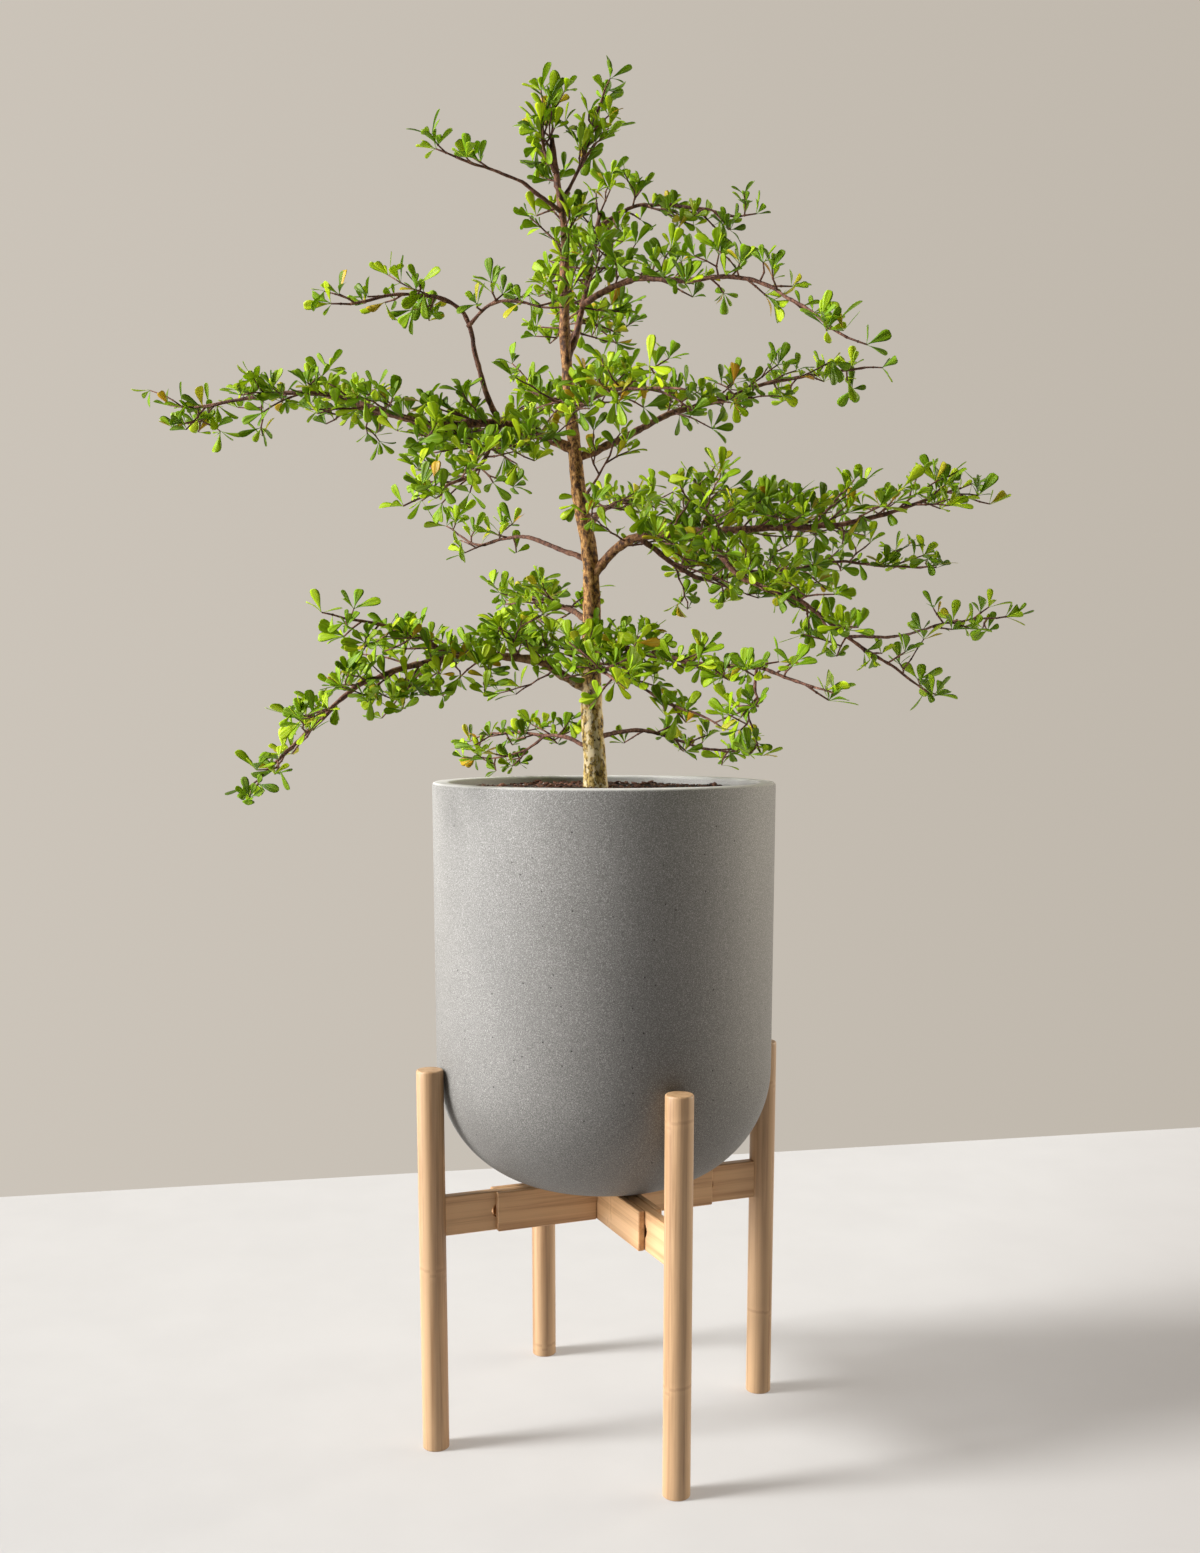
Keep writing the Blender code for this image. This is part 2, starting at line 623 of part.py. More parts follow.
def build_leg(word, heading, bamboo):
    """One round leg and the slotted arm that carries it, sliding out along the heading."""
    slide = bpy.data.objects.new(f"slide_{word}", None)
    bpy.context.scene.collection.objects.link(slide)
    slide.rotation_euler = (0, 0, heading)
    bottom = BAR_TOP - BAR_HEIGHT
    middle = BAR_TOP - BAR_HEIGHT / 2
    arm_outer = LEG_CENTRE - LEG_RADIUS + ARM_TENON
    outline = [(ARM_INNER, bottom), (arm_outer, bottom), (arm_outer, BAR_TOP), (ARM_INNER, BAR_TOP)]
    arm_mesh = prism_mesh(f"arm_{word}", outline, -ARM_THICK / 2, ARM_THICK / 2)
    arm = add_object(f"arm_{word}", arm_mesh, bamboo)
    arm.parent = slide
    bevel(arm)
    slot_middle = (SLOT_INNER + SLOT_OUTER) / 2
    slot_half = (SLOT_OUTER - SLOT_INNER) / 2
    slot_outline = stadium(slot_middle, slot_half, SLOT_HEIGHT / 2, middle)
    slot = add_object(f"cut_slot_{word}", prism_mesh("slot", slot_outline, -ARM_THICK, ARM_THICK))
    slot.parent = slide
    boolean(arm, "DIFFERENCE", as_cutter(slot))

    rings = [(LEG_RADIUS - LEG_ROUND, 0), (LEG_RADIUS, LEG_ROUND)]
    rings += [(LEG_RADIUS, LEG_HEIGHT - LEG_ROUND), (LEG_RADIUS - LEG_ROUND, LEG_HEIGHT)]
    vertices = []
    for radius, height in rings:
        for k in range(LEG_SIDES):
            angle = 2 * math.pi * k / LEG_SIDES
            vertices.append(Vector((radius * math.cos(angle), radius * math.sin(angle), height)))
    faces = [list(range(LEG_SIDES)), [len(vertices) - 1 - k for k in range(LEG_SIDES)]]
    for i in range(len(rings) - 1):
        for k in range(LEG_SIDES):
            after = (k + 1) % LEG_SIDES
            low = i * LEG_SIDES
            faces.append([low + k, low + after, low + LEG_SIDES + after, low + LEG_SIDES + k])
    leg = add_object(f"leg_{word}", mesh_from(f"leg_{word}", vertices, faces), bamboo)
    leg.parent = slide
    leg.location = (LEG_CENTRE, 0, 0)
    smooth_shade(leg)
    mortise_far = arm_outer + GAP
    mortise_outline = [
        (LEG_CENTRE - 2 * LEG_RADIUS, bottom - GAP),
        (mortise_far, bottom - GAP),
        (mortise_far, BAR_TOP + GAP),
        (LEG_CENTRE - 2 * LEG_RADIUS, BAR_TOP + GAP),
    ]
    half_mortise = ARM_THICK / 2 + GAP
    mortise_mesh = prism_mesh("mortise", mortise_outline, -half_mortise, half_mortise)
    mortise = add_object(f"cut_mortise_{word}", mortise_mesh)
    mortise.parent = slide
    boolean(leg, "DIFFERENCE", as_cutter(mortise))


def main():
    for old in list(bpy.data.objects):
        bpy.data.objects.remove(old, do_unlink=True)
    stoneware = material("stoneware", (0.36, 0.34, 0.31), 0.7)
    rubber = material("rubber", (0.03, 0.03, 0.03), 0.8)
    bamboo = material("bamboo", (0.56, 0.33, 0.16), 0.5)
    bark = material("bark", (0.16, 0.09, 0.05), 0.85)
    leaf = material("leaf", (0.12, 0.26, 0.05), 0.45)
    soil = material("soil", (0.06, 0.035, 0.02), 0.95)

    room = build_wood(bark)
    build_foliage(leaf, room)
    build_soil(soil, room)
    build_pot(stoneware, rubber)
    build_cross_bar("bar_left_right", STAND_TURN, False, bamboo)
    build_cross_bar("bar_front_back", STAND_TURN - math.pi / 2, True, bamboo)
    for word, quarter in (("right", 0), ("back", 1), ("left", 2), ("front", 3)):
        build_leg(word, STAND_TURN + quarter * math.pi / 2, bamboo)


main()
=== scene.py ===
"""Looks of the potted bonsai on its bamboo stand: bark, twigs and leaves, stoneware, soil and bamboo.

Everything is in metres in the CAD frame: +Z up, origin on the floor under the pot's axis.
"""

import math
import random

import bpy
import numpy as np
from mathutils import Matrix, Vector, noise


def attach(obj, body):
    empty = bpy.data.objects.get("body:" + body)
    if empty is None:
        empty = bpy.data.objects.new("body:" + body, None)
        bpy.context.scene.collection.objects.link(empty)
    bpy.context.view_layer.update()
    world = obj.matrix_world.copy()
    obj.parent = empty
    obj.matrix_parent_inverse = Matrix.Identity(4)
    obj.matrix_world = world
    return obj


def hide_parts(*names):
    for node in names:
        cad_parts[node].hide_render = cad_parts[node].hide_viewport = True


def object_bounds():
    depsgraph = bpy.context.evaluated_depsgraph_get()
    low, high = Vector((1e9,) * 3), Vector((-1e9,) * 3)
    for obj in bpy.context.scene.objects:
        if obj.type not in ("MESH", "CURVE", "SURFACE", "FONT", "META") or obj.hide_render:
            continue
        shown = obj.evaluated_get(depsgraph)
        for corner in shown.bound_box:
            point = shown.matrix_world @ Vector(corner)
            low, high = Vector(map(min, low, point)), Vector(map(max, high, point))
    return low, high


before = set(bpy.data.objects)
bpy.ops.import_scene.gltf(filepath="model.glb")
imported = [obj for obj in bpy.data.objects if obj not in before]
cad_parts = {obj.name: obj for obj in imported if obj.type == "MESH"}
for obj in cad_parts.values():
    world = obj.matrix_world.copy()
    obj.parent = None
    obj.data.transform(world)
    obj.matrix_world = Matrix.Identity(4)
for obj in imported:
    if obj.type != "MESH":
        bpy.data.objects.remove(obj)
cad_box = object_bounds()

MM = 0.001
# The stand's left-right bar is turned this far about Z.
TURN = math.radians(22.0)

# --- Camera, light and floor ---

CAMERA_PLACE = (-0.0035, -1.4135, 0.658)
CAMERA_PITCH = 9.0
CAMERA_LENS = 36.51
CAMERA_SHIFT = 0.122
CAMERA_NEAR = 0.05

# Each light: the heading of its shadows and its height, both in degrees, its strength, its angular
# size in degrees, and its colour.
SUNS = {
    "key": (12.0, 40.0, 4.2, 13.0, (1.0, 0.985, 0.96)),
    "low_side_light": (10.0, 8.0, 5.2, 40.0, (1.0, 0.99, 0.975)),
    "warm_fill": (200.0, 14.0, 2.1, 40.0, (1.0, 0.91, 0.76)),
}

# What lights the object from in front and from behind, and the wall that the camera sees, painted
# lighter on the left and darker on the right as painted shade.
LIGHT_IN_FRONT = (0.025, 0.024, 0.022)
LIGHT_BEHIND = (0.62, 0.575, 0.515)
WALL_LEFT = (0.610, 0.560, 0.495)
WALL_RIGHT = (0.515, 0.468, 0.405)

FLOOR_LEFT = -3.2
FLOOR_RIGHT = 4.0
FLOOR_FRONT = -3.0
FLOOR_BACK_LEFT = 0.20
FLOOR_BACK_RIGHT = 1.70


def make_camera():
    """A camera in front of the object, tipped down."""
    data = bpy.data.cameras.new("camera")
    camera = bpy.data.objects.new("camera", data)
    bpy.context.scene.collection.objects.link(camera)
    camera.location = CAMERA_PLACE
    camera.rotation_euler = (math.radians(90.0 - CAMERA_PITCH), 0, 0)
    data.lens = CAMERA_LENS
    data.shift_y = CAMERA_SHIFT
    data.clip_start = CAMERA_NEAR
    bpy.context.scene.camera = camera


def make_sun(name, heading, height, strength, softness, colour):
    """A soft distant light whose shadows fall along the heading."""
    data = bpy.data.lights.new(name, "SUN")
    data.energy = strength
    data.angle = math.radians(softness)
    data.color = colour
    light = bpy.data.objects.new(name, data)
    bpy.context.scene.collection.objects.link(light)
    along = math.radians(heading)
    down = math.radians(height)
    aim = Vector((math.cos(along) * math.cos(down), math.sin(along) * math.cos(down), -math.sin(down)))
    light.rotation_euler = aim.to_track_quat("-Z", "Y").to_euler()


def make_world():
    """Surroundings that are bright behind the object and dark in front, and a warm grey wall with
    painted shade, lighter on the left and darker on the right.
    """
    world = bpy.data.worlds.new("studio")
    bpy.context.scene.world = world
    world.use_nodes = True
    tree = world.node_tree
    tree.nodes.clear()
    direction = put(tree, "ShaderNodeTexCoord").outputs["Generated"]
    parts = split(tree, direction)
    surround = mix_colours(tree, step_up(tree, parts["Y"], -0.5, 0.9), LIGHT_IN_FRONT, LIGHT_BEHIND)
    lighting = put(tree, "ShaderNodeBackground", {"Color": surround, "Strength": 1.0})
    # Painted shade: the wall that the camera sees is darker towards the right.
    wall = mix_colours(tree, step_up(tree, parts["X"], -0.45, 0.45), WALL_LEFT, WALL_RIGHT)
    seen = put(tree, "ShaderNodeBackground", {"Color": wall, "Strength": 1.0})
    path = put(tree, "ShaderNodeLightPath")
    both = put(tree, "ShaderNodeMixShader", {0: path.outputs["Is Camera Ray"]})
    tree.links.new(lighting.outputs[0], both.inputs[1])
    tree.links.new(seen.outputs[0], both.inputs[2])
    output = put(tree, "ShaderNodeOutputWorld")
    tree.links.new(both.outputs[0], output.inputs["Surface"])


def make_floor(material):
    """A plain floor, whose far edge runs a little askew behind the object."""
    corners = [
        (FLOOR_LEFT, FLOOR_FRONT, 0),
        (FLOOR_RIGHT, FLOOR_FRONT, 0),
        (FLOOR_RIGHT, FLOOR_BACK_RIGHT, 0),
        (FLOOR_LEFT, FLOOR_BACK_LEFT, 0),
    ]
    mesh = bpy.data.meshes.new("floor")
    mesh.from_pydata(corners, [], [(0, 1, 2, 3)])
    mesh.materials.append(material)
    floor = bpy.data.objects.new("floor", mesh)
    bpy.context.scene.collection.objects.link(floor)


# --- Material helpers ---


def put(tree, kind, inputs=None, **settings):
    """Add a node, set its properties, and link or set its inputs."""
    made = tree.nodes.new(kind)
    for name, value in settings.items():
        setattr(made, name, value)
    for name, value in (inputs or {}).items():
        if isinstance(value, bpy.types.NodeSocket):
            tree.links.new(value, made.inputs[name])
        else:
            made.inputs[name].default_value = value
    return made


def new_material(name, roughness):
    """An empty Principled material: its tree and its shader."""
    material = bpy.data.materials.new(name)
    material.use_nodes = True
    tree = material.node_tree
    shader = tree.nodes["Principled BSDF"]
    shader.inputs["Roughness"].default_value = roughness
    return material, tree, shader


def mix_colours(tree, factor, low, high, blend="MIX"):
    """A colour between low and high, each a socket or a colour."""
    made = put(tree, "ShaderNodeMix", data_type="RGBA", blend_type=blend)
    for index, value in ((0, factor), (6, low), (7, high)):
        if isinstance(value, bpy.types.NodeSocket):
            tree.links.new(value, made.inputs[index])
        elif index:
            made.inputs[index].default_value = (*value, 1)
        else:
            made.inputs[index].default_value = value
    return made.outputs[2]


def ramp(tree, value, stops):
    """A colour ramp, from (position, colour) stops."""
    made = put(tree, "ShaderNodeValToRGB", {"Fac": value})
    elements = made.color_ramp.elements
    while len(elements) < len(stops):
        elements.new(0.5)
    for element, (position, colour) in zip(elements, stops):
        element.position = position
        element.color = (*colour, 1)
    return made.outputs["Color"]


def step_up(tree, value, low, high):
    """0 below low, 1 above high, and a slope between."""
    made = put(tree, "ShaderNodeMapRange", {"Value": value, "From Min": low, "From Max": high})
    return made.outputs["Result"]


def maths(tree, operation, first, second=0.0):
    return put(tree, "ShaderNodeMath", {0: first, 1: second}, operation=operation).outputs[0]


def times(tree, first, second):
    return maths(tree, "MULTIPLY", first, second)


def noise_value(tree, place, scale, detail=3.0, roughness=0.55):
    inputs = {"Vector": place, "Scale": scale, "Detail": detail, "Roughness": roughness}
    return put(tree, "ShaderNodeTexNoise", inputs).outputs["Fac"]


def split(tree, place):
    """The X, Y and Z outputs of a place."""
    return put(tree, "ShaderNodeSeparateXYZ", {"Vector": place}).outputs


def object_place(tree, stretch=(1, 1, 1), turn=0.0):
    """The object's own coordinates, turned about Z and then stretched."""
    place = put(tree, "ShaderNodeTexCoord").outputs["Object"]
    if turn:
        place = put(tree, "ShaderNodeMapping", {"Vector": place, "Rotation": (0, 0, turn)}).outputs[0]
    if stretch != (1, 1, 1):
        place = put(tree, "ShaderNodeMapping", {"Vector": place, "Scale": stretch}).outputs[0]
    return place


def bump(tree, shader, height, distance, strength=1.0):
    made = put(tree, "ShaderNodeBump", {"Height": height, "Distance": distance, "Strength": strength})
    tree.links.new(made.outputs[0], shader.inputs["Normal"])


# --- Materials ---


FLOOR_GLOW = 0.245
# The floor's colour and glow are painted darker between these two lines, measured to the right and
# towards the front: painted shade.
PAINTED_SHADE_START = 0.08
PAINTED_SHADE_END = 0.95


def floor_material():
    """A matte pale floor that glows a little, with painted shade that darkens its colour and its glow
    towards the right and the front.
    """
    material, tree, shader = new_material("pale_floor", 0.9)
    grain = noise_value(tree, object_place(tree), 9.0)
    colour = ramp(tree, grain, [(0.35, (0.368, 0.372, 0.374)), (0.65, (0.384, 0.388, 0.390))])
    place = split(tree, object_place(tree))
    across = maths(tree, "SUBTRACT", place["X"], times(tree, place["Y"], 0.6))
    # Painted shade: the floor's colour and its glow darken towards the right and the front.
    painted_floor_shade = step_up(tree, across, PAINTED_SHADE_START, PAINTED_SHADE_END)
    colour = mix_colours(tree, painted_floor_shade, colour, (0.300, 0.290, 0.284))
    tree.links.new(colour, shader.inputs["Base Color"])
    shader.inputs["Specular IOR Level"].default_value = 0.1
    shader.inputs["Emission Color"].default_value = (1.0, 0.92, 0.865, 1)
    glow = maths(tree, "SUBTRACT", FLOOR_GLOW, times(tree, painted_floor_shade, 0.06))
    tree.links.new(glow, shader.inputs["Emission Strength"])
    return material


# How many clouds, grains and pinhole cells there are to the metre.
CLOUD_SCALE = 14.0
GRAIN_SCALE = 1150.0
PINHOLE_SCALE = 120.0


def stoneware_material():
    """Grey stoneware with fine pale and dark grains and pinholes, with painted shade that darkens it
    towards the base, a paler inner wall above the soil as painted light, and a paler rim top as a
    painted highlight.
    """
    material, tree, shader = new_material("speckled_stoneware", 0.62)
    place = object_place(tree)
    cloud = noise_value(tree, place, CLOUD_SCALE, 4.0)
    ground = ramp(tree, cloud, [(0.3, (0.190, 0.186, 0.178)), (0.7, (0.216, 0.211, 0.203))])
    fine = noise_value(tree, place, GRAIN_SCALE, 2.0, 0.8)
    pale = step_up(tree, fine, 0.53, 0.63)
    colour = mix_colours(tree, pale, ground, (0.40, 0.392, 0.38))
    dark = times(tree, step_up(tree, fine, 0.47, 0.37), 0.75)
    colour = mix_colours(tree, dark, colour, (0.11, 0.106, 0.098))
    cells = put(tree, "ShaderNodeTexVoronoi", {"Vector": place, "Scale": PINHOLE_SCALE})
    chosen = put(tree, "ShaderNodeSeparateColor", {"Color": cells.outputs["Color"]})
    near = step_up(tree, cells.outputs["Distance"], 0.115, 0.06)
    few = step_up(tree, chosen.outputs[0], 0.74, 0.76)
    pinhole = times(tree, near, few)
    colour = mix_colours(tree, pinhole, colour, (0.035, 0.032, 0.028))
    height = split(tree, place)["Z"]
    # Painted shade: the pot darkens from just below the rim down to its base.
    painted_shade_low = step_up(tree, height, POT_RIM_Z - 50 * MM, POT_BASE_Z)
    painted_shade_colour = mix_colours(tree, 1.0, colour, (0.56, 0.555, 0.545), "MULTIPLY")
    colour = mix_colours(tree, painted_shade_low, colour, painted_shade_colour)
    # Painted light: the inner wall above the soil is painted paler, as if lit.
    reach = put(tree, "ShaderNodeVectorMath", {0: place, 1: (1, 1, 0)}, operation="MULTIPLY").outputs[0]
    reach = put(tree, "ShaderNodeVectorMath", {0: reach}, operation="LENGTH").outputs["Value"]
    inside = step_up(tree, reach, POT_INNER + 3 * MM, POT_INNER + 1 * MM)
    inside = times(tree, inside, step_up(tree, height, SOIL_Z - 40 * MM, SOIL_Z - 20 * MM))
    colour = mix_colours(tree, times(tree, inside, 0.6), colour, (0.50, 0.49, 0.475))
    # Painted highlight: the top of the rim is painted paler.
    painted_highlight_rim = step_up(tree, height, POT_RIM_Z - 1.8 * MM, POT_RIM_Z - 0.5 * MM)
    colour = mix_colours(tree, times(tree, painted_highlight_rim, 0.85), colour, (0.62, 0.61, 0.595))
    tree.links.new(colour, shader.inputs["Base Color"])
    rough = put(tree, "ShaderNodeMapRange", {"Value": cloud, "To Min": 0.52, "To Max": 0.68})
    tree.links.new(rough.outputs[0], shader.inputs["Roughness"])
    relief = maths(tree, "SUBTRACT", times(tree, fine, 0.35), pinhole)
    bump(tree, shader, relief, 0.0004, 0.6)
    return material


FLAKE_SCALE = 300.0
PATCH_SCALE = 190.0
# The trunk's bark turns olive, with pale patches, between these heights.
TAN_ABOVE = 0.735
OLIVE_BELOW = 0.640


def bark_material():
    """Flaking tan bark on thick wood, with pale patches low on the trunk, and dark red-brown twigs."""
    material, tree, shader = new_material("bark", 0.8)
    place = object_place(tree)
    tall = object_place(tree, (1, 1, 0.62))
    girth = put(tree, "ShaderNodeAttribute", attribute_name="girth").outputs["Fac"]
    height = split(tree, place)["Z"]
    flakes = noise_value(tree, tall, FLAKE_SCALE, 6.0, 0.7)
    patches = noise_value(tree, tall, PATCH_SCALE, 3.0, 0.6)
    thick = ramp(
        tree,
        flakes,
        [
            (0.42, (0.045, 0.016, 0.004)),
            (0.48, (0.210, 0.088, 0.020)),
            (0.55, (0.420, 0.205, 0.055)),
            (0.64, (0.640, 0.380, 0.140)),
        ],
    )
    olive = ramp(
        tree,
        flakes,
        [
            (0.42, (0.050, 0.026, 0.003)),
            (0.48, (0.300, 0.185, 0.030)),
            (0.55, (0.540, 0.370, 0.095)),
            (0.64, (0.740, 0.570, 0.220)),
        ],
    )
    low = step_up(tree, height, TAN_ABOVE, OLIVE_BELOW)
    thick = mix_colours(tree, low, thick, olive)
    pale_spots = times(tree, step_up(tree, patches, 0.50, 0.55), low)
    thick = mix_colours(tree, times(tree, pale_spots, 0.85), thick, (0.86, 0.72, 0.45))
    thin = ramp(
        tree,
        flakes,
        [(0.40, (0.050, 0.018, 0.011)), (0.52, (0.150, 0.058, 0.034)), (0.66, (0.270, 0.130, 0.080))],
    )
    colour = mix_colours(tree, step_up(tree, girth, 0.22, 0.60), thin, thick)
    tree.links.new(colour, shader.inputs["Base Color"])
    bump(tree, shader, flakes, 0.0012, 0.9)
    return material


# The share of the leaves that are still green.
GREEN_SHARE = 0.935
# The side veins are a wave that runs through this many radians along a blade.
VEIN_TURN = 62.0


def leaf_material():
    """Glossy green blades, each its own shade, with a pale midrib and some yellow ones."""
    material, tree, shader = new_material("leaf_blade", 0.42)
    stored = put(tree, "ShaderNodeAttribute", attribute_name="leaf").outputs["Color"]
    parts = put(tree, "ShaderNodeSeparateColor", {"Color": stored})
    tone, age, across = parts.outputs
    along = put(tree, "ShaderNodeAttribute", attribute_name="leaf").outputs["Alpha"]
    cloud = noise_value(tree, object_place(tree), 240.0, 2.0)
    shade = maths(tree, "ADD", tone, times(tree, maths(tree, "SUBTRACT", cloud, 0.5), 0.35))
    green = ramp(
        tree,
        shade,
        [
            (0.05, (0.060, 0.150, 0.002)),
            (0.35, (0.160, 0.335, 0.002)),
            (0.70, (0.360, 0.530, 0.002)),
            (1.00, (0.560, 0.680, 0.006)),
        ],
    )
    old = ramp(
        tree,
        age,
        [(0.94, (0.42, 0.46, 0.010)), (0.985, (0.62, 0.44, 0.015)), (1.0, (0.62, 0.26, 0.015))],
    )
    colour = mix_colours(tree, step_up(tree, age, GREEN_SHARE, GREEN_SHARE + 0.02), green, old)
    tip = step_up(tree, along, 0.2, 1.0)
    colour = mix_colours(tree, times(tree, tip, 0.22), colour, (0.44, 0.54, 0.014))
    side = maths(tree, "ABSOLUTE", maths(tree, "SUBTRACT", across, 0.5))
    rib = step_up(tree, side, 0.045, 0.012)
    veins = maths(tree, "SINE", times(tree, maths(tree, "SUBTRACT", along, side), VEIN_TURN))
    vein_lines = times(tree, step_up(tree, veins, 0.75, 1.0), 0.16)
    lines = maths(tree, "MAXIMUM", times(tree, rib, 0.5), vein_lines)
    colour = mix_colours(tree, lines, colour, (0.52, 0.62, 0.10))
    tree.links.new(colour, shader.inputs["Base Color"])
    shader.inputs["Specular IOR Level"].default_value = 0.22
    shader.inputs["Coat Weight"].default_value = 0.05
    shader.inputs["Coat Roughness"].default_value = 0.25
    bump(tree, shader, maths(tree, "SUBTRACT", cloud, lines), 0.0002, 0.5)
    glow = put(tree, "ShaderNodeBsdfTranslucent")
    tree.links.new(mix_colours(tree, 0.35, colour, (0.66, 0.86, 0.0)), glow.inputs["Color"])
    both = put(tree, "ShaderNodeMixShader", {0: 0.34})
    tree.links.new(shader.outputs[0], both.inputs[1])
    tree.links.new(glow.outputs[0], both.inputs[2])
    output = tree.nodes["Material Output"]
    tree.links.new(both.outputs[0], output.inputs["Surface"])
    return material


STRIP_WIDTH = 5.5 * MM
RING_SPACING = 0.23
# Fibres to the metre across and along the grain.
FIBRES_ACROSS = 620
FIBRES_ALONG = 14
LEG_TINT = (0.420, 0.262, 0.140)
# The bars' tint is lighter than the legs', partly painted light that makes up for the pot's shade on
# the bars.
BAR_TINT_WITH_PAINTED_LIGHT = (0.560, 0.335, 0.168)


def bamboo_colour(tree, shader, place, across, along, tint, first_ring):
    """Laminated bamboo: strips side by side with their own tones, fine fibres and growth rings."""
    strips = times(tree, across, 1 / STRIP_WIDTH)
    strip = maths(tree, "FLOOR", strips)
    tone = put(tree, "ShaderNodeTexWhiteNoise", {"W": strip}, noise_dimensions="1D").outputs["Value"]
    fibres = noise_value(tree, place, 1.0, 5.0, 0.6)
    slow = put(tree, "ShaderNodeVectorMath", {0: place, 1: (0.22, 0.22, 0.22)}, operation="MULTIPLY")
    clouds = noise_value(tree, slow.outputs[0], 1.0, 2.0)

    def shade(red, green, blue):
        return tuple(min(1.0, c * f) for c, f in zip(tint, (red, green, blue)))

    base = ramp(
        tree,
        fibres,
        [
            (0.32, shade(0.66, 0.62, 0.56)),
            (0.50, shade(0.96, 0.95, 0.94)),
            (0.70, shade(1.22, 1.26, 1.3)),
        ],
    )
    base = mix_colours(tree, times(tree, tone, 0.75), base, shade(0.70, 0.58, 0.46))
    base = mix_colours(tree, step_up(tree, clouds, 0.62, 0.40), base, shade(1.15, 1.18, 1.2))
    # A growth ring crosses every strip at about the same height, one every RING_SPACING.
    uneven = times(tree, tone, 0.045)
    spot = maths(tree, "ADD", times(tree, along, 1 / RING_SPACING), uneven)
    spot = maths(tree, "ADD", spot, first_ring)
    ring = maths(tree, "ABSOLUTE", maths(tree, "SUBTRACT", maths(tree, "FRACT", spot), 0.5))
    edge = maths(tree, "FRACT", strips)
    for mark, low, high, colour in (
        (ring, 0.030, 0.008, shade(1.3, 1.34, 1.4)),
        (ring, 0.0085, 0.003, shade(0.5, 0.4, 0.3)),
        (edge, 0.06, 0.0, shade(0.5, 0.42, 0.34)),
    ):
        base = mix_colours(tree, times(tree, step_up(tree, mark, low, high), 0.3), base, colour)
    tree.links.new(base, shader.inputs["Base Color"])
    rough = put(tree, "ShaderNodeMapRange", {"Value": fibres, "To Min": 0.38, "To Max": 0.55})
    tree.links.new(rough.outputs[0], shader.inputs["Roughness"])
    bump(tree, shader, fibres, 0.00025, 0.5)


def bamboo_leg_material(word, first_ring):
    """Bamboo with its grain upright, on a piece whose own axis is Z."""
    material, tree, shader = new_material(f"bamboo_leg_{word}", 0.45)
    place = object_place(tree, (FIBRES_ACROSS, FIBRES_ACROSS, FIBRES_ALONG))
    parts = split(tree, object_place(tree))
    bamboo_colour(tree, shader, place, parts["X"], parts["Z"], LEG_TINT, first_ring)
    return material


def bamboo_bar_material(name, heading, first_ring):
    """Bamboo with its grain along a level bar that points to the heading."""
    material, tree, shader = new_material(name, 0.45)
    place = object_place(tree, (FIBRES_ALONG, FIBRES_ACROSS, FIBRES_ACROSS), -heading)
    parts = split(tree, object_place(tree, (1, 1, 1), -heading))
    # The bars take the lighter tint, which holds painted light.
    bamboo_colour(tree, shader, place, parts["Z"], parts["X"], BAR_TINT_WITH_PAINTED_LIGHT, first_ring)
    return material


def soil_material():
    material, tree, shader = new_material("potting_mix", 0.95)
    grain = noise_value(tree, object_place(tree), 260.0, 6.0, 0.7)
    colour = ramp(
        tree,
        grain,
        [(0.34, (0.008, 0.004, 0.002)), (0.52, (0.034, 0.016, 0.009)), (0.72, (0.085, 0.043, 0.026))],
    )
    tree.links.new(colour, shader.inputs["Base Color"])
    bump(tree, shader, grain, 0.002, 0.9)
    return material


def chip_material():
    """Bark chips, crumbs and perlite, each with the colour stored on it."""
    material, tree, shader = new_material("soil_chips", 0.85)
    own = put(tree, "ShaderNodeAttribute", attribute_name="chip").outputs["Color"]
    grain = noise_value(tree, object_place(tree), 700.0, 3.0)
    colour = mix_colours(tree, step_up(tree, grain, 0.7, 0.3), own, (0.0, 0.0, 0.0))
    colour = mix_colours(tree, 0.55, colour, own)
    tree.links.new(colour, shader.inputs["Base Color"])
    bump(tree, shader, grain, 0.0004, 0.7)
    return material


def rubber_material():
    material, tree, shader = new_material("plug_rubber", 0.8)
    dust = noise_value(tree, object_place(tree), 500.0)
    colour = ramp(tree, dust, [(0.3, (0.012, 0.012, 0.012)), (0.7, (0.03, 0.03, 0.029))])
    tree.links.new(colour, shader.inputs["Base Color"])
    bump(tree, shader, dust, 0.0002, 0.4)
    return material


# --- Mesh helpers ---


class Batch:
    """Points, faces and one value or colour per point, gathered into a single mesh."""

    def __init__(self):
        self.points = []
        self.faces = []
        self.values = []
        self.count = 0

    def add(self, points, faces, values):
        self.points.append(np.asarray(points, float))
        self.faces.extend(tuple(i + self.count for i in face) for face in faces)
        self.values.append(np.asarray(values, float))
        self.count += len(points)

    def build(self, name, material, attribute, kind):
        mesh = bpy.data.meshes.new(name)
        mesh.from_pydata(np.concatenate(self.points).tolist(), [], self.faces)
        stored = mesh.attributes.new(attribute, kind, "POINT")
        field = "color" if kind == "FLOAT_COLOR" else "value"
        stored.data.foreach_set(field, np.concatenate(self.values).ravel().astype(np.float32))
        return finish_piece(name, mesh, material)


def finish_piece(name, mesh, material):
    """A smooth shaded object made from a mesh."""
    mesh.materials.append(material)
    mesh.validate()
    mesh.shade_smooth()
    piece = bpy.data.objects.new(name, mesh)
    bpy.context.scene.collection.objects.link(piece)
    return piece


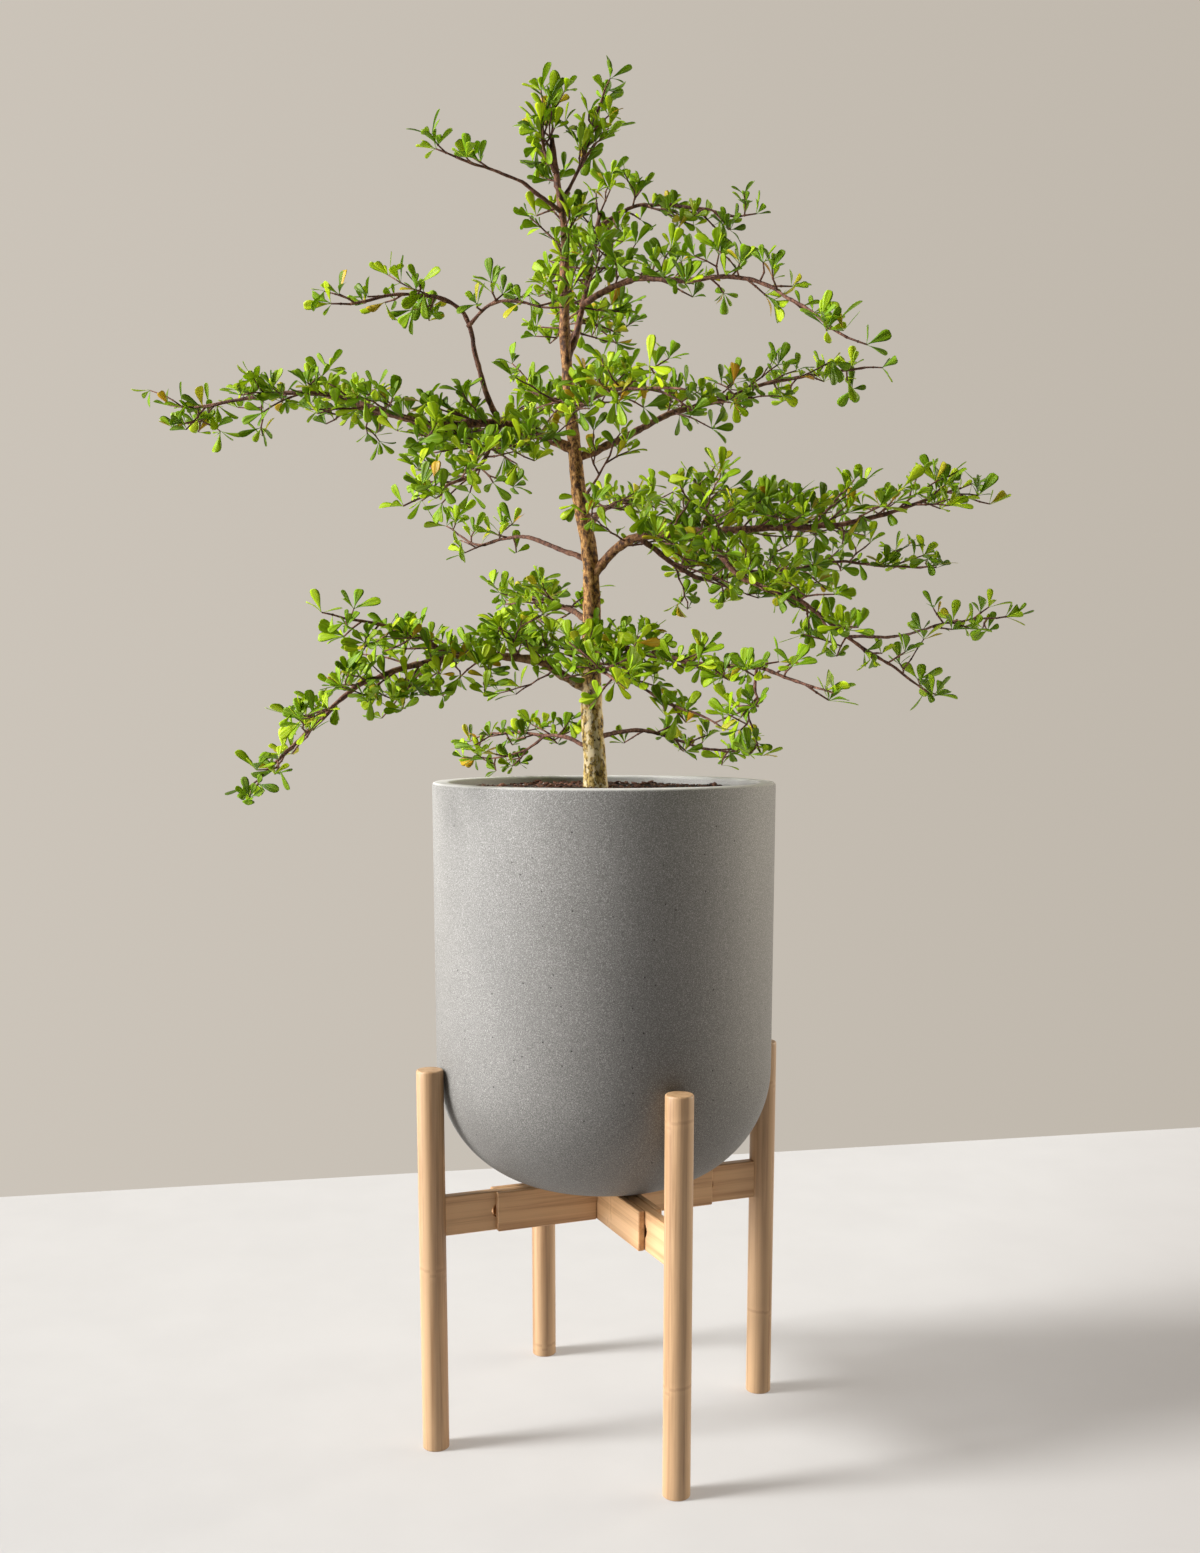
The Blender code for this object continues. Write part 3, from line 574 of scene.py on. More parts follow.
def smooth_route(route, step):
    """Points about one step apart on the Catmull-Rom curve through a route's own points."""
    route = np.asarray(route, float)
    ends = np.vstack([2 * route[0] - route[1], route, 2 * route[-1] - route[-2]])
    points = []
    for i in range(len(route) - 1):
        before, start, end, after = ends[i : i + 4]
        span = np.linalg.norm((end - start)[:3])
        count = max(1, round(span / step))
        for k in range(count):
            t = k / count
            points.append(
                0.5
                * (
                    2 * start
                    + (end - before) * t
                    + (2 * before - 5 * start + 4 * end - after) * t**2
                    + (3 * start - before - 3 * end + after) * t**3
                )
            )
    points.append(route[-1])
    return np.array(points)


# Bark lumps are about twice as tall as they are wide.
LUMP_STRETCH = 0.45
# The girth stored on wood is 1 at this radius.
THICK_WOOD = 10 * MM


def tube(points, radii, sides, rough=0.0, lumps=0.0):
    """A closed tube. rough is its bark's relief, and lumps is how far apart the relief's cells are."""
    points = np.asarray(points, float)
    count = len(points)
    tangents = np.gradient(points, axis=0)
    tangents /= np.linalg.norm(tangents, axis=1)[:, None]
    across = np.cross(tangents[0], (0.3, 0.5, 0.8))
    across /= np.linalg.norm(across)
    angles = 2 * math.pi * np.arange(sides) / sides
    vertices = []
    for i in range(count):
        across = across - tangents[i] * (across @ tangents[i])
        across /= np.linalg.norm(across)
        other = np.cross(tangents[i], across)
        ring = np.cos(angles)[:, None] * across + np.sin(angles)[:, None] * other
        size = np.full(sides, radii[i])
        if rough:
            for k in range(sides):
                spot = Vector(points[i] + ring[k] * radii[i]) / lumps
                spot.z *= LUMP_STRETCH
                size[k] += rough * noise.fractal(spot, 0.8, 2.1, 4)
        vertices.append(points[i] + ring * size[:, None])
    faces = [tuple(range(sides))[::-1], tuple((count - 1) * sides + k for k in range(sides))]
    for i in range(count - 1):
        low = i * sides
        for k in range(sides):
            after = (k + 1) % sides
            faces.append((low + k, low + after, low + sides + after, low + sides + k))
    girths = np.repeat(np.asarray(radii) / THICK_WOOD, sides)
    return np.concatenate(vertices), faces, girths


def turned(name, profile, sides, material, closed):
    """A (radius, height) profile turned about Z. An open profile starts and ends on the axis."""
    rings = profile if closed else profile[1:-1]
    angles = 2 * math.pi * np.arange(sides) / sides
    points = [(r * math.cos(a), r * math.sin(a), z) for r, z in rings for a in angles]
    faces = []
    for i in range(len(rings) if closed else len(rings) - 1):
        low = i * sides
        high = (i + 1) % len(rings) * sides
        for k in range(sides):
            after = (k + 1) % sides
            faces.append((low + k, low + after, high + after, high + k))
    if not closed:
        faces.append(tuple(range(sides))[::-1])
        faces.append(tuple((len(rings) - 1) * sides + k for k in range(sides)))
    mesh = bpy.data.meshes.new(name)
    mesh.from_pydata(points, [], faces)
    return finish_piece(name, mesh, material)


def arc(centre_r, centre_z, radius, start, end, steps):
    """Points of a round corner, with the angles in degrees from the outward direction."""
    angles = np.radians(np.linspace(start, end, steps + 1))
    return [(centre_r + radius * math.cos(a), centre_z + radius * math.sin(a)) for a in angles]


# --- The tree's wood ---

# The trunk from the root stub to the top shoot, in millimetres: x, y, z, radius.
TRUNK = [
    (-4, 0, 520, 5.0),
    (-6, 0, 560, 10.0),
    (-7, 0, 590, 12.0),
    (-8, 1, 612, 10.2),
    (-11, 2, 673, 9.2),
    (-11, -4, 759, 7.4),
    (-13, -5, 801, 6.8),
    (-21, 0, 844, 6.2),
    (-27, 6, 900, 5.6),
    (-33, 8, 970, 4.6),
    (-34, 4, 1020, 3.9),
    (-34, 0, 1065, 3.2),
    (-42, -5, 1120, 2.4),
    (-44, -5, 1138, 1.4),
]

# Each limb and the two crown shoots: thickness where it starts and ends, then its route in mm.
LIMBS = {
    "root_left": (6, 2.5, [(-7, 0, 586), (-35, -8, 582), (-62, -22, 574)]),
    "root_front": (6, 2.5, [(-7, 0, 586), (2, -30, 581), (14, -55, 572)]),
    "root_back": (6, 2.5, [(-7, 0, 586), (10, 24, 582), (34, 44, 573)]),
    "top_left": (2.0, 1.0, [(-36, -2, 1078), (-54, -15, 1088), (-80, -25, 1100), (-122, -36, 1110)]),
    "crown_left": (1.8, 1.0, [(-41, -5, 1108), (-50, -8, 1128), (-52, -10, 1146)]),
    "crown_right": (1.8, 1.0, [(-37, -2, 1086), (-22, 2, 1112), (-12, 0, 1138), (-6, -2, 1158)]),
    "second_leader": (3.2, 1.8, [(-32, 8, 960), (-23, 18, 987), (-15, 32, 1030), (-3, 50, 1093)]),
    "top_right": (1.9, 1.0, [(-6, 46, 1080), (25, 50, 1098), (66, 40, 1096), (112, 8, 1078)]),
    "upper_right": (3.0, 1.0, [
        (-20, 24, 1010), (22, 0, 1024), (63, -30, 1016), (103, -55, 1012), (133, -75, 1000),
        (190, -116, 952),
    ]),
    "upper_left": (2.8, 1.0, [
        (-88, -20, 903), (-99, -32, 925), (-107, -42, 955), (-118, -46, 990), (-160, -60, 998),
        (-205, -74, 986),
    ]),
    "upper_left_fork": (1.7, 1.0, [
        (-113, -45, 976), (-94, -55, 990), (-70, -68, 991), (-50, -78, 983),
    ]),
    "left_mid": (4.6, 1.2, [
        (-25, 5, 886), (-51, 0, 896), (-88, -20, 903), (-147, -30, 901), (-215, -20, 922),
        (-270, -5, 932), (-355, 8, 922),
    ]),
    "hanging": (2.2, 1.0, [(-88, -20, 903), (-96, -60, 876), (-106, -95, 853), (-140, -138, 828)]),
    "right_mid": (3.8, 1.1, [
        (-22, 4, 880), (14, 20, 897), (59, 50, 924), (105, 75, 941), (143, 95, 957), (201, 120, 973),
        (245, 134, 981),
    ]),
    "centre_front": (2.8, 1.0, [(-29, 8, 918), (-12, -40, 920), (13, -90, 918), (50, -148, 908)]),
    "centre_back": (2.8, 1.0, [(-30, 8, 930), (-39, 60, 936), (-55, 120, 952), (-70, 168, 960)]),
    "thin_twig": (1.4, 0.8, [(-19, 0, 842), (-6, -10, 861), (5, -20, 878)]),
    "small_left": (2.6, 1.0, [
        (-14, -5, 792), (-39, 15, 804), (-76, 50, 819), (-114, 85, 814), (-136, 103, 826),
    ]),
    "big_right": (4.8, 1.2, [
        (-13, -5, 776), (11, -15, 801), (43, -30, 811), (114, -55, 812), (189, -55, 816),
        (240, -42, 828), (296, -26, 848),
    ]),
    "right_lower": (2.6, 1.0, [
        (31, -25, 808), (58, 0, 792), (88, 25, 779), (124, 50, 786), (171, 75, 792), (217, 95, 800),
        (300, 118, 797),
    ]),
    "drooping": (2.8, 1.0, [
        (81, -45, 812), (98, -60, 790), (117, -70, 771), (162, -75, 753), (206, -70, 722),
        (270, -55, 683),
    ]),
    "droop_tip": (1.4, 0.8, [
        (204, -70, 724), (255, -30, 727), (299, 20, 739), (333, 50, 745), (362, 68, 748),
    ]),
    "right_low": (3.4, 1.1, [
        (-11, 0, 722), (14, -40, 716), (38, -75, 709), (85, -125, 699), (121, -165, 695),
        (158, -198, 680),
    ]),
    "zigzag": (1.3, 0.8, [
        (119, -163, 695), (117, -166, 680), (120, -170, 669), (112, -172, 660), (116, -175, 648),
    ]),
    "under_right": (1.8, 0.9, [(5, -26, 718), (19, -55, 696), (38, -80, 677), (82, -128, 657)]),
    "right_bottom": (2.4, 1.0, [
        (-11, 1, 638), (15, 30, 644), (48, 65, 643), (96, 115, 628), (130, 148, 624),
    ]),
    "left_low": (4.6, 1.2, [
        (-12, 1, 680), (-34, -5, 692), (-62, -20, 707), (-128, -60, 706), (-197, -95, 686),
        (-231, -120, 654), (-270, -143, 616),
    ]),
    "left_low_fork": (2.4, 1.0, [
        (-128, -60, 706), (-148, -85, 721), (-178, -110, 731), (-208, -128, 735),
    ]),
    "left_bottom": (2.2, 1.0, [
        (-11, 1, 630), (-31, 25, 638), (-54, 55, 641), (-92, 96, 643), (-118, 120, 640),
    ]),
    "lowest": (1.4, 0.8, [(-54, 55, 641), (-70, 80, 629), (-91, 100, 621), (-110, 118, 617)]),
    "front": (2.4, 1.0, [(-11, 0, 700), (-9, -60, 703), (-4, -120, 696), (9, -205, 684)]),
    "back_high": (2.4, 1.0, [(-33, 8, 968), (-26, 60, 997), (-13, 120, 1022), (5, 176, 1036)]),
    "back_mid": (3.4, 1.1, [
        (-16, -3, 816), (-4, 50, 838), (15, 120, 858), (36, 180, 870), (48, 212, 872),
    ]),
    "back_low": (3.4, 1.1, [
        (-11, -2, 738), (-26, 50, 751), (-51, 120, 765), (-80, 184, 772), (-92, 214, 770),
    ]),
}

# How each limb is leafed: the CAD's foliage pad that its leaves stand for, the share of the limb where
# twigs start, their reach in millimetres, twigs per centimetre, and how steeply they rise in degrees.
LEAFING = {
    "trunk": ("crown", 0.78, 34, 1.5, 12),
    "crown_left": ("crown", 0.20, 26, 2.0, 30),
    "crown_right": ("crown", 0.25, 30, 2.0, 28),
    "top_left": ("top_left", 0.55, 12, 0.7, -5),
    "second_leader": ("top_right", 0.35, 46, 2.0, 8),
    "top_right": ("top_right", 0.02, 38, 1.4, -8),
    "upper_right": ("upper_right", 0.12, 34, 1.1, 16),
    "upper_left": ("upper_left", 0.50, 32, 1.1, 8),
    "upper_left_fork": ("upper_left", 0.10, 30, 1.1, 10),
    "left_mid": ("left_mid", 0.05, 60, 1.75, -4),
    "hanging": ("hanging", 0.06, 44, 1.6, 6),
    "right_mid": ("right_mid", 0.28, 44, 1.1, 8),
    "centre_front": ("centre_front", 0.08, 44, 1.4, 14),
    "centre_back": ("centre_back", 0.15, 48, 1.4, 6),
    "thin_twig": ("centre_front", 0.50, 12, 1.0, 40),
    "small_left": ("small_left", 0.50, 22, 0.8, 10),
    "big_right": ("big_right", 0.10, 76, 1.7, 14),
    "right_lower": ("right_lower", 0.10, 50, 1.4, 10),
    "drooping": ("drooping", 0.12, 44, 1.3, 5),
    "droop_tip": ("droop_tip", 0.45, 10, 0.6, 10),
    "right_low": ("right_low", 0.10, 34, 1.2, 18),
    "zigzag": ("right_low", 0.30, 16, 1.0, 0),
    "under_right": ("under_right", 0.20, 30, 0.9, 0),
    "right_bottom": ("right_bottom", 0.30, 30, 0.8, 0),
    "left_low": ("left_low", 0.06, 58, 1.65, 0),
    "left_low_fork": ("left_fork", 0.05, 42, 1.3, -12),
    "left_bottom": ("left_bottom", 0.25, 28, 0.9, 0),
    "lowest": ("left_bottom", 0.40, 18, 1.0, 0),
    "front": ("front", 0.08, 38, 1.3, 12),
    "back_high": ("back_high", 0.25, 44, 1.0, 8),
    "back_mid": ("back_mid", 0.25, 32, 1.2, 5),
    "back_low": ("back_low", 0.25, 32, 1.2, 5),
}

TREE_SEED = 11
TRUNK_SIDES = 28
LIMB_SIDES = 10
COURSE_STEP = 4 * MM
KINK = 0.9 * MM

NODE_STEP = 10.5 * MM
LEAF_LENGTH = 18.5 * MM
TWIG_RADIUS = 0.95 * MM
TWIG_SIDES = 5
# Each leaf of a rosette is turned this far from the one before, in radians.
LEAF_TURN = 2.4
# The chances that a node has leaves, that its rosette hangs, and that it forks.
LEAFY_CHANCE = 0.62
HANGING_CHANCE = 0.12
FORK_CHANCE = 0.30
# Twigs are this much of their reach at the start of a limb, and lose this much by its tip.
REACH_AT_START = 1.24
REACH_LOST = 0.68
# The twig at a limb's tip is no longer than this many millimetres.
LONGEST_TIP = 24
# Twigs stop this far inside the front and back of the CAD box, which leaves room for their leaves.
TWIG_MARGIN = 6 * MM
UP = np.array((0.0, 0.0, 1.0))


def unit(vector):
    return vector / np.linalg.norm(vector)


def kinked(points, dice, amount):
    """Small bends at about every fourth point, as on wood that grew from node to node."""
    offsets = np.zeros_like(points)
    for axis in range(3):
        knots = [dice.uniform(-amount, amount) for _ in range(len(points) // 4 + 2)]
        places = np.linspace(0, len(points) - 1, len(knots))
        offsets[:, axis] = np.interp(np.arange(len(points)), places, knots)
    fade = np.clip(np.arange(len(points)) / 4, 0, 1)[:, None]
    return points + offsets * fade


def limb_course(name, dice):
    """A limb's centreline and radii, in metres."""
    thick, thin, route = LIMBS[name]
    points = smooth_route(np.array(route, float) * MM, COURSE_STEP)
    points = kinked(points, dice, KINK)
    share = np.linspace(0, 1, len(points))
    radii = (thick + (thin - thick) * share**0.8) * MM
    swell = 1 + 0.10 * np.array([dice.uniform(-1, 1) for _ in share])
    return points, radii * swell


def trunk_course():
    course = smooth_route(np.array(TRUNK, float) * MM, 3 * MM)
    return course[:, :3], course[:, 3]


def twig_path(start, heading, length, dice):
    """A zigzag twig from node to node."""
    points = [start]
    side = dice.choice((-1, 1))
    direction = unit(heading)
    steps = max(2, round(length / NODE_STEP))
    for _ in range(steps):
        sideways = unit(np.cross(direction, UP) + 1e-6)
        side = -side
        bend = dice.uniform(0.12, 0.42) * side
        lift = dice.uniform(-0.16, 0.14)
        direction = unit(direction + sideways * bend + UP * lift)
        onward = points[-1] + direction * NODE_STEP * dice.uniform(0.75, 1.2)
        if onward[1] < cad_box[0][1] + TWIG_MARGIN or onward[1] > cad_box[1][1] - TWIG_MARGIN:
            break
        points.append(onward)
    return points


class Leaves:
    """The placed leaves of one pad, as rows of numbers for leaf_batch."""

    def __init__(self):
        self.rows = []

    def rosette(self, place, axis, count, size, dice):
        """A fan of leaves that open round an axis."""
        axis = unit(axis)
        first = unit(np.cross(axis, (dice.uniform(-1, 1), dice.uniform(-1, 1), 0.2)))
        second = np.cross(axis, first)
        start = dice.uniform(0, 2 * math.pi)
        tone = dice.gauss(0.5, 0.18)
        for k in range(count):
            turn = start + k * LEAF_TURN + dice.uniform(-0.4, 0.4)
            spread = math.radians(dice.uniform(22, 66))
            outward = math.cos(turn) * first + math.sin(turn) * second
            direction = unit(axis * math.cos(spread) + outward * math.sin(spread))
            facing = axis - direction * (axis @ direction)
            facing = unit(facing + 0.25 * np.array([dice.uniform(-1, 1) for _ in range(3)]))
            facing = unit(facing - direction * (facing @ direction))
            length = size * dice.triangular(0.42, 1.32, 0.9)
            age = dice.random()
            self.rows.append(
                (
                    *(place + outward * 0.5 * MM),
                    *direction,
                    *facing,
                    length,
                    length * dice.uniform(0.17, 0.235),
                    dice.uniform(0.05, 0.45),
                    dice.uniform(-0.05, 0.30),
                    min(1.0, max(0.0, tone + dice.gauss(0, 0.2))),
                    age,
                )
            )


def grow_twig(wood, leaves, start, heading, length, dice, order):
    """One twig with its rosettes, and smaller twigs from some of its nodes."""
    path = twig_path(start, heading, length, dice)
    count = len(path)
    if count < 2:
        return
    knots = []
    radii = []
    for i, point in enumerate(path):
        size = TWIG_RADIUS * (1.0 if order == 1 else 0.8) * (1 - 0.45 * i / count)
        if 0 < i < count - 1:
            travel = unit(path[i + 1] - path[i - 1]) * 1.1 * MM
            knots += [point - travel, point, point + travel]
            radii += [size, size * 1.45, size]
        else:
            knots.append(point)
            radii.append(size)
    wood.add(*tube(knots, radii, TWIG_SIDES))
    for i in range(1, count):
        last = i == count - 1
        onward = unit(path[i] - path[i - 1])
        if last or dice.random() < LEAFY_CHANCE:
            lean = onward * dice.uniform(0.2, 0.9) + UP * dice.uniform(0.45, 1.1)
            lean = lean + np.array([dice.uniform(-0.35, 0.35) for _ in range(3)])
            if dice.random() < HANGING_CHANCE:
                lean = lean - UP * 1.3
            number = dice.randint(3, 6) if last else dice.randint(1, 4)
            leaves.rosette(path[i], lean, number, LEAF_LENGTH, dice)
        if order == 1 and not last and dice.random() < FORK_CHANCE:
            side = np.cross(onward, UP) * dice.choice((-1, 1))
            branch = onward * 0.6 + side * dice.uniform(0.4, 1.0) + UP * dice.uniform(-0.1, 0.7)
            grow_twig(wood, leaves, path[i], branch, dice.uniform(12, 32) * MM, dice, 2)


def leaf_limb(wood, leaves, points, start_share, reach, density, rise, dice):
    """Twigs to both sides along the leafy part of a limb, and one that carries its tip on."""
    spans = np.linalg.norm(np.diff(points, axis=0), axis=1)
    travel = np.concatenate([[0], np.cumsum(spans)])
    total = travel[-1]
    spacing = 10 * MM / density
    place = total * start_share + spacing * dice.random()
    side = dice.choice((-1, 1))
    while place < total - 2 * MM:
        i = min(int(np.searchsorted(travel, place)), len(points) - 2)
        along = unit(points[i + 1] - points[max(i - 1, 0)])
        sideways = np.cross(along, UP)
        if np.linalg.norm(sideways) < 0.3:
            sideways = np.array((math.cos(place * 900), math.sin(place * 900), 0.0))
        sideways = unit(sideways)
        side = -side
        opening = math.radians(dice.uniform(28, 78))
        climb = math.radians(rise + dice.uniform(-48, 34))
        level = along * math.cos(opening) + sideways * side * math.sin(opening)
        heading = level * math.cos(climb) + UP * math.sin(climb)
        share = (place / total - start_share) / (1 - start_share)
        fullness = REACH_AT_START - REACH_LOST * share
        length = reach * MM * fullness * dice.uniform(0.35, 1.15)
        grow_twig(wood, leaves, points[i], heading, length, dice, 1)
        place += spacing * dice.uniform(0.6, 1.4) * (1 + 1.1 * share**2)
    onward = unit(points[-1] - points[-4])
    grow_twig(wood, leaves, points[-1], onward + UP * 0.1, min(reach * 0.4, LONGEST_TIP) * MM, dice, 1)


# The blade's outline: how far along each row lies, and its half width there.
LEAF_ROWS = [
    (0.0, 0.07),
    (0.14, 0.13),
    (0.34, 0.40),
    (0.54, 0.74),
    (0.72, 0.97),
    (0.87, 0.93),
    (0.965, 0.58),
]
LEAF_TIP = 0.985
LEAF_THICK = 0.16 * MM
# Each row is a closed ring: five points on the upper side and three on the under side.
RING_ACROSS = np.array([-1, -0.5, 0, 0.5, 1, 0.5, 0, -0.5])
RING_LIFT = np.array([0, 0.75, 1, 0.75, 0, -0.75, -1, -0.75])


def leaf_batch(leaves):
    """All of a pad's leaves as closed thin blades, with their tone, age and own coordinates."""
    rows = np.array(leaves.rows)
    place, direction, facing = rows[:, 0:3], rows[:, 3:6], rows[:, 6:9]
    length, width, fold, curl, tone, age = rows[:, 9:15].T
    sideways = np.cross(direction, facing)
    points = []
    values = []
    for along, half in LEAF_ROWS:
        for across, lift in zip(RING_ACROSS, RING_LIFT):
            out = across * half * width
            high = np.abs(out) * fold - curl * length * along**2 + lift * LEAF_THICK
            spot = place + sideways * out[:, None] + direction * (along * length)[:, None]
            points.append(spot + facing * high[:, None])
            own_place = (np.full_like(tone, 0.5 + 0.5 * across), np.full_like(tone, along))
            values.append(np.stack([tone, age, *own_place], 1))
    high = -curl * length * LEAF_TIP**2
    points.append(place + direction * (LEAF_TIP * length)[:, None] + facing * high[:, None])
    values.append(np.stack([tone, age, np.full_like(tone, 0.5), np.ones_like(tone)], 1))
    points = np.stack(points, 1)
    values = np.stack(values, 1)
    ring = len(RING_ACROSS)
    faces = [tuple(range(ring))]
    for i in range(len(LEAF_ROWS) - 1):
        low = i * ring
        for k in range(ring):
            after = (k + 1) % ring
            faces.append((low + k, low + ring + k, low + ring + after, low + after))
    last = (len(LEAF_ROWS) - 1) * ring
    tip = last + ring
    for k in range(ring):
        faces.append((last + k, tip, last + (k + 1) % ring))
    batch = Batch()
    for one, own in zip(points, values):
        batch.add(one, faces, own)
    return batch


def make_tree(bark, leaf):
    """The wood as one piece and the leaves as one piece for each CAD pad."""
    dice = random.Random(TREE_SEED)
    wood = Batch()
    pads = {}
    trunk_points, trunk_radii = trunk_course()
    wood.add(*tube(trunk_points, trunk_radii, TRUNK_SIDES, 0.9 * MM, 7 * MM))
    courses = {"trunk": trunk_points}
    for name in LIMBS:
        courses[name], radii = limb_course(name, dice)
        wood.add(*tube(courses[name], radii, LIMB_SIDES, 0.35 * MM, 4 * MM))
    for name, (pad, start_share, reach, density, rise) in LEAFING.items():
        leaves = pads.setdefault(pad, Leaves())
        leaf_limb(wood, leaves, courses[name], start_share, reach, density, rise, dice)
    trunk = wood.build("tree_wood", bark, "girth", "FLOAT")
    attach(trunk, "root")
    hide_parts("trunk_and_branches")
    for pad, leaves in pads.items():
        piece = leaf_batch(leaves).build(f"leaves_{pad}", leaf, "leaf", "FLOAT_COLOR")
        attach(piece, "root")
        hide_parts(f"foliage_{pad}")


# --- Pot and soil ---

POT_RADIUS = 152.5 * MM
POT_WALL = 16.0 * MM
POT_INNER = POT_RADIUS - POT_WALL
POT_BASE_Z = 236.0 * MM
POT_RIM_Z = 601.0 * MM
POT_CORNER = 108.0 * MM
POT_SIDE_LOW = 360.0 * MM
POT_SIDE_HIGH = 580.0 * MM
RIM_ROUND = 3.0 * MM
DRAIN_RADIUS = 9.0 * MM
POT_SIDES = 160
SOIL_Z = POT_RIM_Z - 8.5 * MM
SOIL_SIDES = 144
SOIL_GAP = 0.4 * MM


def pot_inside(steps):
    """The inside of the pot's round bottom, from the floor of the pot up."""
    corner = POT_CORNER - POT_WALL
    return arc(POT_INNER - corner, POT_BASE_Z + POT_WALL + corner, corner, -90, 0, steps)


def make_pot(material):
    """The pot's wall as one turned shell, from the drain hole over the rim and back."""
    outside = [(DRAIN_RADIUS, POT_BASE_Z)]
    outside += arc(POT_RADIUS - POT_CORNER, POT_BASE_Z + POT_CORNER, POT_CORNER, -90, 0, 28)
    outside += [(POT_RADIUS, z) for z in np.linspace(POT_SIDE_LOW, POT_SIDE_HIGH, 10)]
    outside += arc(POT_RADIUS - RIM_ROUND, POT_RIM_Z - RIM_ROUND, RIM_ROUND, 0, 90, 7)
    rim = arc(POT_INNER + RIM_ROUND, POT_RIM_Z - RIM_ROUND, RIM_ROUND, 90, 180, 7)
    inside = list(reversed(pot_inside(20)))
    profile = outside + rim + inside + [(DRAIN_RADIUS, POT_BASE_Z + POT_WALL)]
    pot = turned("stoneware_pot", profile, POT_SIDES, material, True)
    pot.data.set_sharp_from_angle(angle=math.radians(50))
    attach(pot, "root")
    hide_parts("planter_pot")


def soil_height(x, y):
    """The loose surface: a low crown with lumps and hollows."""
    spot = Vector((x, y, 0.3))
    distance = math.hypot(x, y) / POT_RADIUS
    crown = 2.5 * MM * (1 - distance**2)
    lumps = 2.6 * MM * noise.fractal(spot / (22 * MM), 0.9, 2.0, 4)
    crumbs = 0.9 * MM * noise.fractal(spot / (5 * MM), 0.9, 2.0, 2)
    return SOIL_Z + crown + lumps + crumbs


def make_soil(soil, chips):
    """The bed that fills the pot, with a loose surface, and the chips on it."""
    inside = [(r - SOIL_GAP, z + SOIL_GAP) for r, z in pot_inside(10)]
    edge = inside[-1][0]
    sides = SOIL_SIDES
    rings = inside[:-1] + [(edge, 0.5), (edge, SOIL_Z - 4 * MM)]
    level = len(rings)
    rings += [(edge * r, None) for r in np.linspace(1, 0.02, 62)]
    points = []
    for radius, height in rings:
        for k in range(sides):
            angle = 2 * math.pi * k / sides
            x, y = radius * math.cos(angle), radius * math.sin(angle)
            points.append((x, y, soil_height(x, y) if height is None else height))
    faces = [tuple(range(sides))[::-1], tuple((len(rings) - 1) * sides + k for k in range(sides))]
    for i in range(len(rings) - 1):
        for k in range(sides):
            after = (k + 1) % sides
            low = i * sides
            faces.append((low + k, low + after, low + sides + after, low + sides + k))
    mesh = bpy.data.meshes.new("soil_bed")
    mesh.from_pydata(points, [], faces)
    bed = finish_piece("soil_bed", mesh, soil)
    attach(bed, "root")
    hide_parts("potting_soil")
    scatter_chips(chips, edge)


CHIP_KINDS = [
    # share, longest side in millimetres, flatness, colour
    (0.30, (3.0, 8.5), 0.40, (0.150, 0.058, 0.030)),
    (0.22, (2.0, 5.0), 0.55, (0.060, 0.028, 0.018)),
    (0.20, (1.5, 4.0), 0.75, (0.230, 0.115, 0.062)),
    (0.12, (1.2, 3.0), 0.85, (0.560, 0.520, 0.470)),
    (0.16, (2.0, 6.0), 0.30, (0.028, 0.015, 0.010)),
]
CHIP_COUNT = 1500
CHIP_SEED = 5
# No chips lie within this distance of the trunk, whose foot is at TRUNK_X.
TRUNK_X = -8 * MM
TRUNK_CLEAR = 12 * MM


def scatter_chips(material, edge):
    """Bark chips, crumbs and perlite lying half sunk in the soil."""
    dice = random.Random(CHIP_SEED)
    batch = Batch()
    golden = (1 + 5**0.5) / 2
    corners = [(0, s, t * golden) for s in (-1, 1) for t in (-1, 1)]
    corners = [c[i:] + c[:i] for c in corners for i in range(3)]
    corners = np.array(corners, float)
    corners /= np.linalg.norm(corners[0])
    hull_faces = icosahedron_faces(corners)
    shares = [kind[0] for kind in CHIP_KINDS]
    for _ in range(CHIP_COUNT):
        _, (small, large), flat, colour = dice.choices(CHIP_KINDS, shares)[0]
        radius = (edge - 4 * MM) * math.sqrt(dice.random())
        angle = dice.uniform(0, 2 * math.pi)
        x, y = radius * math.cos(angle), radius * math.sin(angle)
        if math.hypot(x - TRUNK_X, y) < TRUNK_CLEAR:
            continue
        long_half = dice.uniform(small, large) * MM / 2
        shape = corners * (1, dice.uniform(0.35, 0.8), flat * dice.uniform(0.5, 1.0)) * long_half
        shape = shape * (1 + 0.22 * np.array([[dice.uniform(-1, 1)] for _ in corners]))
        spin, tilt = dice.uniform(0, 2 * math.pi), dice.uniform(-0.5, 0.5)
        lean = np.array(Matrix.Rotation(-tilt, 3, "Y"))
        round_z = np.array(Matrix.Rotation(-spin, 3, "Z"))
        shape = shape @ lean @ round_z
        shape = shape + (x, y, soil_height(x, y) + 0.3 * long_half)
        tone = dice.uniform(0.65, 1.35)
        own = [*(min(1.0, c * tone) for c in colour), 1.0]
        batch.add(shape, hull_faces, np.tile(own, (len(shape), 1)))
    piece = batch.build("soil_chips", material, "chip", "FLOAT_COLOR")
    piece.data.shade_flat()
    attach(piece, "root")


